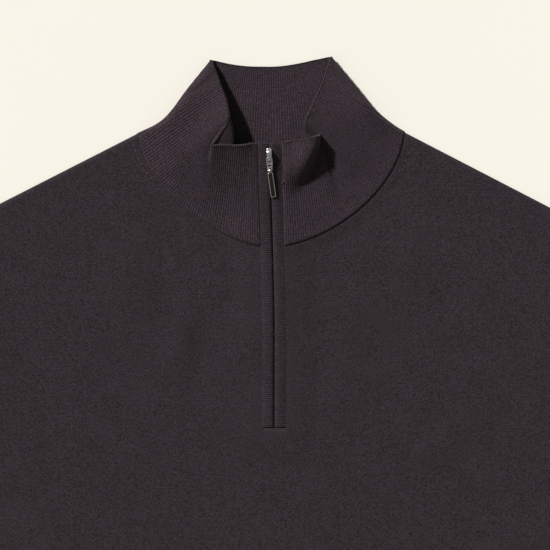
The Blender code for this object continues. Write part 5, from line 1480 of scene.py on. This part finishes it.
def build_edging(name, node, side, material):
    """One strip beside the zip: a folded knit band with fine ribs across it."""
    low, high = ZIP_BOTTOM_Y, zip_top_y()
    ribs = round((high - low) / EDGING_RIB_PITCH)
    along = np.linspace(0.0, ribs, ribs * EDGING_COLUMNS + 1)
    y = low + (high - low) * along / ribs
    profile = np.array(EDGING_PROFILE)
    level = zip_level(y) - PANEL_WALL / 2
    raised = rib_profile(along)
    closing = ((ZIP_SLIT / 2 - EDGING_CLOSED)
               * smooth((y - high + EDGING_CLOSES) / EDGING_CLOSING))
    x = zip_x(y)[:, None] + side * (
        ZIP_SLIT / 2 + profile[:, 0] - closing[:, None] * (1.0 - profile[:, 0] / EDGING_WIDTH))
    z = (level[:, None] + profile[:, 1][None, :]
         + EDGING_RIB_HEIGHT * (raised[:, None] - 1.0) * profile[:, 2][None, :])
    near_end = np.clip((np.minimum(y - low, high - y)) / EDGING_END, 0.0, 1.0)[:, None]
    rounding = EDGING_END_DROP * (1.0 - np.sqrt(1.0 - (1.0 - near_end) ** 2))
    z -= rounding * (profile[:, 1] / EDGING_WALL)[None, :]
    if side > 0:
        outwards = smooth((profile[:, 0] - EDGING_LEAN_ACROSS[0]) / EDGING_LEAN_ACROSS[1])
        leaning = EDGING_LEAN * outwards * (profile[:, 1] / EDGING_WALL)
        above = smooth((y - EDGING_LEAN_FROM) / EDGING_LEAN_REACH)
        share = EDGING_LEAN_BELOW + (1.0 - EDGING_LEAN_BELOW) * above
        z -= leaning[None, :] * share[:, None]
    wave = EDGING_TOP_WAVE * np.sin(math.pi * profile[:, 0] / EDGING_WIDTH)[None, :]
    bowed = y[:, None] + wave * smooth((y - high) / EDGING_WAVE_REACH + 1.0)[:, None]
    sections = np.stack([x, bowed, z], axis=-1)
    piece = swept(name, sections, np.broadcast_to(along[:, None], x.shape),
                  np.broadcast_to(measured(profile[:, :2]), x.shape), material)
    dress(piece, node, EDGING_CUT * (high - low))
    return piece


def collar_level(x, y, side):
    """Height of the middle of the collar's wall over a plan point near the zip."""
    parts = np.linspace(0.0, 1.0, WALL_POINTS)
    across = []
    heights = []
    for rib in range(TAPE_RIBS + 1):
        station = rib if side < 0 else 2 * HALF_RIBS - rib
        wall = collar_surface(np.full(WALL_POINTS, float(station)), parts)
        across.append(abs(float(np.interp(y, wall[:, 1], wall[:, 0])) - x))
        heights.append(float(np.interp(y, wall[:, 1], wall[:, 2])))
    return heights[int(np.argmin(across))]


def build_tape(material):
    """The zip's tape: flat behind the edging, its sides following the cloth that hides them."""
    flat = SLOT_HALF_WIDTH
    under_front = PANEL_WALL + SEAM_GAP + TAPE_WALL
    low, high_y = ZIP_BOTTOM_Y - TAPE_TAIL, zip_top_y() - TAPE_BELOW_EDGE
    stations = np.concatenate([np.linspace(low, COLLAR_STARTS_Y, TAPE_ROWS[0]),
                               np.linspace(COLLAR_STARTS_Y, high_y, TAPE_ROWS[1])[1:]])
    sections = []
    for y in stations:
        on_collar = float(past_seam(y))
        high = float(zip_level(y)) - PANEL_WALL / 2 - SEAM_GAP - TAPE_COLLAR_DROP * on_collar
        centre = float(zip_x(y))
        top = [(centre - flat, high), (centre, high), (centre + flat, high)]
        for side in (-1, 1):
            x = centre + side * TAPE_HALF_WIDTH
            under = collar_level(x, y, side) - COLLAR_WALL / 2 - SEAM_GAP - TAPE_COLLAR_DROP
            rising = float(smooth((y - FRONT_NECK_Y) / TAPE_RISE))
            flank = (x, under_front + (min(under, high) - under_front) * rising)
            top.insert(0 if side < 0 else len(top), flank)
        sections.append([(x, y, z) for x, z in top]
                        + [(x, y, z - TAPE_WALL) for x, z in reversed(top)])
    sections = np.array(sections)
    piece = swept("woven_zip_tape", sections, sections[..., 0], sections[..., 1], material)
    width, length = 2 * TAPE_HALF_WIDTH + TAPE_TURNS[0], high_y - low + TAPE_TURNS[1]
    dress(piece, "zip_tape", width * length)
    return piece


# ------------------------------------------------------------------ slider, link and pull tab

def started(add, **settings):
    """A new primitive, with nothing else selected."""
    bpy.ops.object.select_all(action="DESELECT")
    add(**settings)
    piece = bpy.context.active_object
    bpy.ops.object.transform_apply(location=True, rotation=True, scale=True)
    return piece


def block(width, length, height, middle):
    """A block of the given size in millimetres about its middle."""
    return started(bpy.ops.mesh.primitive_cube_add, size=1.0,
                   location=tuple(value * MM for value in middle),
                   scale=(width * MM, length * MM, height * MM))


def choose(piece, kind, test):
    """Opens a piece for editing with only the parts chosen whose middle, in millimetres, passes."""
    mesh = piece.data
    kinds = {"VERT": mesh.vertices, "EDGE": mesh.edges, "FACE": mesh.polygons}
    for parts in kinds.values():
        parts.foreach_set("select", [False] * len(parts))
    for part in kinds[kind]:
        if kind == "VERT":
            middle = part.co
        elif kind == "EDGE":
            middle = (mesh.vertices[part.vertices[0]].co + mesh.vertices[part.vertices[1]].co) / 2
        else:
            middle = part.center
        part.select = test(*(value / MM for value in middle))
    bpy.context.tool_settings.mesh_select_mode = tuple(kind == name for name in kinds)
    picked(piece)
    bpy.ops.object.mode_set(mode="EDIT")


def edited(piece, kind, test, change, **settings):
    """One change made to the chosen parts of a piece."""
    choose(piece, kind, test)
    change(**settings)
    bpy.ops.object.mode_set(mode="OBJECT")


def widened(piece, test, share):
    edited(piece, "VERT", test, bpy.ops.transform.resize, value=(share, 1.0, 1.0),
           center_override=(0.0, 0.0, 0.0))


def extruded(piece, test, rise):
    edited(piece, "FACE", test, bpy.ops.mesh.extrude_region_move,
           TRANSFORM_OT_translate={"value": (0.0, 0.0, rise * MM)})


def everything(x, y, z):
    return True


def finished(piece, kind, **settings):
    """A modifier put on a piece and applied."""
    bpy.context.view_layer.objects.active = piece
    modifier = piece.modifiers.new(kind.lower(), kind)
    for name, value in settings.items():
        setattr(modifier, name, value)
    bpy.ops.object.modifier_apply(modifier=modifier.name)


def hand_over(piece, name, at, finish, body, node=None):
    """Puts a finished metal piece in its place and gives it to its moving body."""
    piece.name = name
    piece.data.name = name
    piece.matrix_world = at
    picked(piece)
    bpy.ops.object.transform_apply(location=True, rotation=True, scale=True)
    bpy.ops.object.shade_smooth_by_angle(angle=math.radians(SHARP_ANGLE))
    piece.data.materials.clear()
    piece.data.materials.append(finish)
    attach(piece, body)
    if node:
        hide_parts(node)


def standing_at(origin, across, along):
    """The place of a piece whose own X runs across and whose own Y runs along."""
    across = across.normalized()
    up = across.cross(along).normalized()
    along = up.cross(across)
    turned = Matrix((across, along, up)).transposed().to_4x4()
    return Matrix.Translation(origin) @ turned


def pull_places():
    """Where the slider, the link and the tab lie at rest, from the frame's own joints."""
    joints = {joint["name"]: joint for joint in frame["record"]["behaviour"]["joints"]}
    pin = Vector(joints["link_swing"]["pos_m"])
    bar = Vector(joints["tab_swing"]["pos_m"])
    across = -Vector(joints["link_swing"]["axis"])
    link = standing_at(pin, across, pin - bar)
    slider = link @ Matrix.Translation((0.0, SLIDER_ABOVE_PIN * MM, -PIN_HEIGHT * MM))
    corners = [vertex.co for vertex in frame["nodes"]["zip_pull_tab"].data.vertices]
    reach = max((corner - bar).length for corner in corners)
    far = [corner for corner in corners if (corner - bar).length > reach - TAB_END_REACH * MM]
    end = sum(far, Vector()) / len(far)
    tab = standing_at(bar, -Vector(joints["tab_swing"]["axis"]), bar - end)
    return slider, link, tab


def build_slider(at, silver):
    """The slider: its plate, and the domed bridge that the link hangs from."""
    plate = block(SLIDER_WIDTH, SLIDER_LENGTH, SLIDER_PLATE, (0.0, 0.0, SLIDER_PLATE / 2))
    widened(plate, lambda x, y, z: y < 0.0, SLIDER_TAPER)
    edited(plate, "EDGE", lambda x, y, z: abs(x) > 1.0 and abs(y) > 1.0
           and abs(z - SLIDER_PLATE / 2) < NEAR, bpy.ops.mesh.bevel,
           offset=SLIDER_CORNER * MM, segments=5)
    finished(plate, "BEVEL", width=SLIDER_BEVEL * MM, segments=3, limit_method="ANGLE")
    crown = SLIDER_PLATE + BRIDGE_HEIGHT
    end = BRIDGE_LENGTH / 2
    bridge = block(BRIDGE_WIDTH, BRIDGE_LENGTH, BRIDGE_BAR, (0.0, 0.0, crown - BRIDGE_BAR / 2))
    edited(bridge, "FACE", everything, bpy.ops.mesh.subdivide, number_cuts=5)
    edited(bridge, "VERT", lambda x, y, z: abs(x) < NEAR and z > crown - NEAR
           and abs(y) < end - 0.5, bpy.ops.transform.translate,
           value=(0.0, 0.0, BRIDGE_DOME * MM), use_proportional_edit=True,
           proportional_edit_falloff="SPHERE",
           proportional_size=BRIDGE_WIDTH * BRIDGE_DOME_REACH * MM)
    for row, share in enumerate(BRIDGE_WIDTHS):
        level = BRIDGE_LENGTH * (row / (len(BRIDGE_WIDTHS) - 1) - 0.5)
        widened(bridge, lambda x, y, z: abs(y - level) < 2 * NEAR, share)
    for side in (-1, 1):
        edited(bridge, "VERT", lambda x, y, z: side * y > end - 2 * NEAR,
               bpy.ops.transform.translate, value=(0.0, 0.0, -BRIDGE_DROP * MM))
    low = crown - BRIDGE_BAR
    extruded(bridge, lambda x, y, z: end - BRIDGE_FOOT < abs(y) < end - 0.05 and z < low + 0.05,
             SLIDER_PLATE - low - BRIDGE_SUNK)
    finished(bridge, "SUBSURF", levels=2, render_levels=2)
    hand_over(joined(plate, bridge), "slider_body", at, silver, "garment",
              "zip_slider")


def build_link(at, silver):
    """A flat frame with two bars across it, hung from the pin at its top."""
    top = LINK_WIRE / 2
    link = block(LINK_WIDTH, LINK_LENGTH, LINK_WIRE, (0.0, top - LINK_LENGTH / 2, 0.0))
    arm = LINK_WIDTH / 2 - LINK_ARM
    cuts = [((0.0, level, 0.0), (0.0, 1.0, 0.0)) for level in LINK_LINES]
    cuts += [((side * arm, 0.0, 0.0), (1.0, 0.0, 0.0)) for side in (-1, 1)]
    for point, normal in cuts:
        edited(link, "FACE", everything, bpy.ops.mesh.bisect,
               plane_co=tuple(value * MM for value in point), plane_no=normal)
    for first in range(0, len(LINK_LINES), 2):
        gap = (LINK_LINES[first] + LINK_LINES[first + 1]) / 2
        edited(link, "FACE", lambda x, y, z: abs(x) < NEAR < abs(z) and abs(y - gap) < NEAR,
               bpy.ops.mesh.bridge_edge_loops)
    for level, share in zip((top,) + LINK_LINES + (top - LINK_LENGTH,), LINK_WIDTHS):
        widened(link, lambda x, y, z: abs(y - level) < NEAR / 2, share)
    edited(link, "EDGE", lambda x, y, z: abs(x) > LINK_WIDTH / 2 * 0.7 and abs(z) < NEAR
           and (y > top - NEAR or y < top - LINK_LENGTH + NEAR), bpy.ops.mesh.bevel,
           offset=LINK_CORNER * MM, segments=5)
    finished(link, "BEVEL", width=LINK_BEVEL * MM, segments=3, limit_method="ANGLE")
    hand_over(link, "pull_link", at, silver, "zip_link", "zip_pull_link")


def build_tab(at, silver, gunmetal):
    """The bar pull: a raised rim round a dark sunk face, and the eye that holds it."""
    start = TAB_EYE_RADIUS + TAB_EYE_WALL / 2
    length = TAB_LENGTH - start - TAB_EYE_RADIUS - TAB_EYE_WALL
    middle = -start - length / 2
    plate = block(TAB_WIDTH, length, TAB_THICKNESS, (0.0, middle, 0.0))
    edited(plate, "EDGE", lambda x, y, z: abs(x) > 1.0 and abs(y - middle) > 1.0
           and abs(z) < NEAR, bpy.ops.mesh.bevel, offset=TAB_CORNER * MM, segments=4)
    finished(plate, "BEVEL", width=TAB_BEVEL * MM, segments=3, limit_method="ANGLE")
    choose(plate, "FACE", lambda x, y, z: z > TAB_THICKNESS / 2 - 0.01)
    bpy.ops.mesh.inset(thickness=TAB_RIM * MM)
    bpy.ops.mesh.extrude_region_move(
        TRANSFORM_OT_translate={"value": (0.0, 0.0, -TAB_SUNK * MM)})
    bpy.ops.object.mode_set(mode="OBJECT")
    eye = started(bpy.ops.mesh.primitive_torus_add, rotation=(0.0, math.pi / 2, 0.0),
                  major_segments=40, minor_segments=14, minor_radius=TAB_EYE_WALL / 2 * MM,
                  major_radius=(TAB_EYE_RADIUS + TAB_EYE_WALL / 2) * MM)
    widened(eye, everything, TAB_EYE_WIDTH / TAB_EYE_WALL)
    hand_over(joined(plate, eye), "pull_tab_rim", at, silver, "zip_tab",
              "zip_pull_tab")
    inner = TAB_RIM + FACE_GAP
    level = TAB_THICKNESS / 2 - TAB_SUNK * FACE_BELOW
    face = block(TAB_WIDTH - 2 * inner, length - 2 * inner, TAB_SUNK * FACE_THICK,
                 (0.0, middle, level))
    edited(face, "EDGE", lambda x, y, z: abs(x) > 0.6 and abs(y - middle) > 1.0
           and abs(z - level) < NEAR / 2, bpy.ops.mesh.bevel, offset=FACE_CORNER * MM, segments=3)
    finished(face, "BEVEL", width=FACE_BEVEL * MM, segments=2, limit_method="ANGLE")
    hand_over(face, "pull_tab_face", at, gunmetal, "zip_tab")


def build_teeth(gunmetal):
    """The closed zip's teeth, in the slit between the strips, from its foot to the slider."""
    tooth = block(TOOTH_WIDTH, TOOTH_LENGTH, TOOTH_HEIGHT, (0.0, 0.0, TOOTH_HEIGHT / 2))
    finished(tooth, "BEVEL", width=TOOTH_BEVEL * MM, segments=1)
    count = int((SLIDER_FOOT_Y - ZIP_BOTTOM_Y - TOOTH_PITCH) / TOOTH_PITCH)
    y = ZIP_BOTTOM_Y + TOOTH_PITCH * (0.5 + np.arange(count))
    level = zip_level(y) - PANEL_WALL / 2 - SEAM_GAP + TOOTH_LIFT
    level -= TAPE_COLLAR_DROP * past_seam(y)
    steep = np.arctan(np.gradient(level, y))
    copies = []
    for at_y, at_z, slope, turn in zip(y, level, steep, np.arange(count) % 2):
        copy = tooth.copy()
        copy.data = tooth.data.copy()
        bpy.context.collection.objects.link(copy)
        aside = TOOTH_ASIDE if turn else -TOOTH_ASIDE
        where = Vector(GARMENT_AT + (float(zip_x(at_y)) + aside, at_y, at_z)) * MM
        copy.data.transform(Matrix.Translation(where) @ Matrix.Rotation(float(slope), 4, "X"))
        copies.append(copy)
    bpy.data.objects.remove(tooth)
    hand_over(joined(*copies), "zip_teeth", Matrix(), gunmetal, "garment")


# ------------------------------------------------------------------ hand-over to the frame

def dress(piece, node, area):
    """A cloth piece stands for its solid and moves with the garment."""
    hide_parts(node)
    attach(piece, "garment")


# ------------------------------------------------------------------ finishes

class Finish:
    """One material and the nodes that draw it."""

    def __init__(self, name):
        self.material = bpy.data.materials.new(name)
        self.material.use_nodes = True
        self.tree = self.material.node_tree
        self.spot = self.node("TexCoord", output=3)

    def feed(self, socket, value):
        """Links a socket to another node's result, or sets its value."""
        if isinstance(value, bpy.types.NodeSocket):
            self.tree.links.new(value, socket)
        else:
            socket.default_value = value

    def node(self, kind, inputs=(), output=0, **settings):
        made = self.tree.nodes.new("ShaderNode" + kind)
        for key, value in settings.items():
            setattr(made, key, value)
        for socket, value in dict(inputs).items():
            self.feed(made.inputs[socket], value)
        return made.outputs[output]

    def math(self, operation, first, second=0.0, third=0.0):
        return self.node("Math", enumerate((first, second, third)), operation=operation)

    def times(self, first, second):
        return self.math("MULTIPLY", first, second)

    def over(self, first, second):
        return self.math("DIVIDE", first, second)

    def blend(self, value, share, rest):
        return self.math("MULTIPLY_ADD", value, share, rest)

    def hump(self, value, power):
        """0 where the value is a whole number, 1 half way between two."""
        wave = self.math("SINE", self.times(value, math.pi))
        return self.math("POWER", self.math("ABSOLUTE", wave), power)

    def noise(self, scale, detail, roughness=0.5, at=None):
        return self.node("TexNoise", {"Vector": at or self.spot, "Scale": scale,
                                      "Detail": detail, "Roughness": roughness})

    def mix(self, factor, first, second):
        return self.node("Mix", ((0, factor), (6, first), (7, second)), 2, data_type="RGBA")

    def done(self, base, roughness, relief=None, height=None, strength=1.0, **settings):
        """The material, with its colour, roughness and relief joined up."""
        settings.update({"Base Color": base, "Roughness": roughness})
        if relief:
            settings["Normal"] = self.node("Bump", {
                "Strength": strength, "Distance": relief * MM, "Height": height})
        for name, value in settings.items():
            self.feed(self.tree.nodes["Principled BSDF"].inputs[name.replace("_", " ")], value)
        return self.material


def tinted(base, *by):
    """A colour as a node takes it, each part scaled by its own number or all by the same."""
    shares = by if len(by) == 3 else (by or (1.0,)) * 3
    return tuple(part * share for part, share in zip(base, shares)) + (1.0,)


def stitch_height(finish, across, along, course):
    """Height of the two slanting legs of each knitted stitch. across runs from 0 to 1 over a
    wale; along is in millimetres."""
    off = finish.math("ABSOLUTE", finish.math("SUBTRACT", finish.math("FRACT", across), 0.5))
    from_middle = finish.times(off, 2.0)
    step = finish.math("ADD", finish.over(along, course), finish.times(from_middle, STITCH_SLANT))
    return finish.times(finish.hump(from_middle, LEG_ROUND),
                        finish.blend(finish.hump(step, LOOP_ROUND), 0.5, 0.5))


def knit_finish(name, base, wale, course, relief, valley_shade=None):
    """A cloth finish of knitted stitches drawn on the piece's own flat map: wale is the width of
    a stitch on that map and course its length. The grooves between the stitches' legs are darkened
    as painted shade, and so are the ribs' valleys where a valley share is given."""
    finish = Finish(name)
    split = finish.node("SeparateXYZ", {0: finish.node("UVMap", uv_map="cloth")}).node
    across, along = split.outputs[0], split.outputs[1]
    if wale != 1.0:
        across = finish.over(across, wale)
    stitches = stitch_height(finish, across, along, course)
    cell = finish.node("CombineXYZ", {0: finish.math("FLOOR", across),
                                      1: finish.math("FLOOR", finish.over(along, course))})
    loose = finish.node("TexWhiteNoise", {"Vector": cell}, noise_dimensions="2D")
    fuzz = finish.noise(1900.0, 3.0, 0.7)
    flecks = finish.node("MapRange", enumerate((finish.noise(1250.0, 1.0, 0.6),) + FLECK_RANGE))
    shade = finish.times(fuzz, FUZZ_SHARE)
    # The stitch heights lighten each stitch's legs and darken the grooves between them as painted
    # shade; fuzz, loose stitches and flecks vary the tone at random.
    for part, share in ((stitches, STITCH_GROOVE_SHADE_SHARE), (loose, LOOSE_SHARE), (flecks, FLECK_SHARE)):
        shade = finish.blend(part, share, shade)
    # Painted shade: each rib's valley is darkened.
    if valley_shade is not None:
        painted_valley_shade = finish.blend(finish.hump(across, VALLEY_SHADE_ROUND), valley_shade, 1 - valley_shade)
        shade = finish.times(shade, painted_valley_shade)
    shade = finish.times(shade, finish.blend(finish.noise(55.0, 4.0, 0.6), 0.5, 0.75))
    light = finish.mix(finish.noise(420.0, 2.0, 0.6), tinted(base, *WARM_YARN),
                       tinted(base, *COOL_YARN))
    return finish.done(finish.mix(shade, tinted(base, DARK_YARN_AND_SHADE), light), 0.9, relief,
                       finish.blend(fuzz, 0.35, stitches), Sheen_Weight=0.12,
                       Sheen_Roughness=0.5, Sheen_Tint=tinted(SHEEN_COLOUR),
                       Specular_IOR_Level=0.12)


def woven_finish(name, base):
    finish = Finish(name)
    across, along = (
        finish.node("TexWave", {"Vector": finish.spot, "Scale": scale}, 1, bands_direction=way)
        for scale, way in ((330.0, "X"), (260.0, "Y")))
    weave = finish.times(across, along)
    return finish.done(finish.mix(weave, tinted(base, 0.5), tinted(base)), 0.8, 0.15, weave, 0.8)


def metal_finish(name, base, roughness, scratch):
    finish = Finish(name)
    stretched = finish.node("Mapping", {"Vector": finish.spot, "Scale": (9.0, 0.6, 9.0)})
    brushed = finish.noise(700.0, 3.0, at=stretched)
    ground = finish.mix(finish.noise(900.0, 4.0), tinted(base, 0.85), tinted(base))
    rough = finish.blend(brushed, scratch, roughness - scratch / 2)
    return finish.done(ground, rough, 0.02, brushed, 0.2, Metallic=1.0)


# ------------------------------------------------------------------ studio

def studio():
    """Plain floor, a soft key light from the upper left, an even fill and the camera."""
    bpy.ops.object.select_all(action="DESELECT")
    bpy.ops.mesh.primitive_plane_add(size=FLOOR_SIZE, location=(0.0, 0.0, FLOOR_LEVEL))
    floor = bpy.context.active_object
    floor.name = "studio_floor"
    paper = Finish("studio_paper")
    ground = paper.mix(paper.noise(6.0, 2.0), tinted(FLOOR_DARK), tinted(FLOOR_LIGHT))
    floor.data.materials.append(paper.done(ground, 0.95, Specular_IOR_Level=0.0))

    world = bpy.data.worlds.new("studio_fill")
    world.use_nodes = True
    fill = world.node_tree.nodes["Background"].inputs
    fill["Color"].default_value = tinted(FILL_COLOUR)
    fill["Strength"].default_value = FILL_STRENGTH
    bpy.context.scene.world = world

    lamp = bpy.data.lights.new("key_light", "SUN")
    lamp.angle = math.radians(KEY_SPREAD)
    lamp.energy = KEY_POWER
    lamp.color = KEY_COLOUR
    key = bpy.data.objects.new("key_light", lamp)
    bpy.context.collection.objects.link(key)
    toward = Vector(KEY_DIRECTION).normalized()
    aim = Vector((0.0, VIEW_CENTRE[1] * MM, 0.0))
    key.location = aim + toward * KEY_DISTANCE
    key.rotation_euler = toward.to_track_quat("Z", "Y").to_euler()

    lens = bpy.data.cameras.new("front_camera")
    lens.sensor_width = 36.0
    lens.lens = lens.sensor_width * CAMERA_HEIGHT / (VIEW_WIDTH * MM)
    lens.clip_end = 50.0
    camera = bpy.data.objects.new("front_camera", lens)
    bpy.context.collection.objects.link(camera)
    camera.location = (VIEW_CENTRE[0] * MM, VIEW_CENTRE[1] * MM, CAMERA_HEIGHT)
    bpy.context.scene.camera = camera
    bpy.context.scene.view_settings.view_transform = "Standard"
    bpy.context.scene.view_settings.look = "None"


def main():
    # The ribbed finishes darken their ribs' valleys with painted shade.
    collar_knit = knit_finish("fine_rib_knit", RIB_COLOUR, 1.0, 1.05, 0.22, valley_shade=0.48)
    band_knit = knit_finish("band_rib_knit", RIB_COLOUR, 1.0, 1.05, 0.22, valley_shade=0.48)
    plain_knit = knit_finish("plain_knit", KNIT_COLOUR, 1.35, 1.0, 0.28)
    edging_knit = knit_finish("edging_rib_knit", EDGING_COLOUR, 1.0, 1.1, 0.15, valley_shade=0.62)
    # Lighter yarn: the tack's own thread, and a painted highlight on the fashioning knots.
    light_yarn_and_highlight = knit_finish("light_stitches_and_painted_highlight", LIGHT_YARN_AND_HIGHLIGHT_COLOUR, 1.0, 1.0, 0.2)
    tape = woven_finish("zip_tape_weave", TAPE_COLOUR)
    silver = metal_finish("bright_silver", SILVER, 0.33, 0.12)
    gunmetal = metal_finish("dark_gunmetal", GUNMETAL, 0.3, 0.15)
    studio()
    build_collar(collar_knit, light_yarn_and_highlight)
    build_front(plain_knit, light_yarn_and_highlight)
    build_back(plain_knit)
    build_sleeves(plain_knit)
    build_bands(band_knit)
    build_edging("edging_left", "zip_edging_left", -1, edging_knit)
    build_edging("edging_right", "zip_edging_right", 1, edging_knit)
    build_tape(tape)
    slider_at, link_at, tab_at = pull_places()
    build_slider(slider_at, silver)
    build_link(link_at, silver)
    build_tab(tab_at, silver, gunmetal)
    build_teeth(gunmetal)


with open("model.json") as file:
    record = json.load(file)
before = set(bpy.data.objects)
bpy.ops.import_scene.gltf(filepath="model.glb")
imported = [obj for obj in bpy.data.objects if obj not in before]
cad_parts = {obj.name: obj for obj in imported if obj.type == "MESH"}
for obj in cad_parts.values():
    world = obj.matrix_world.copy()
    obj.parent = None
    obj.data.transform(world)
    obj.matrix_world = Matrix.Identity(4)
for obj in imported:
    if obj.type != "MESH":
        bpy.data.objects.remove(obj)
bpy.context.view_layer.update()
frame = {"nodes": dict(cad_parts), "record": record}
HEM_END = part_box("hem_band")[0][1] / MM
GARMENT_AT = np.array([0.0, HEM_END + BODY_LENGTH, 0.0])
VIEW_CENTRE = (3.0, GARMENT_AT[1] - 104.4)
main()
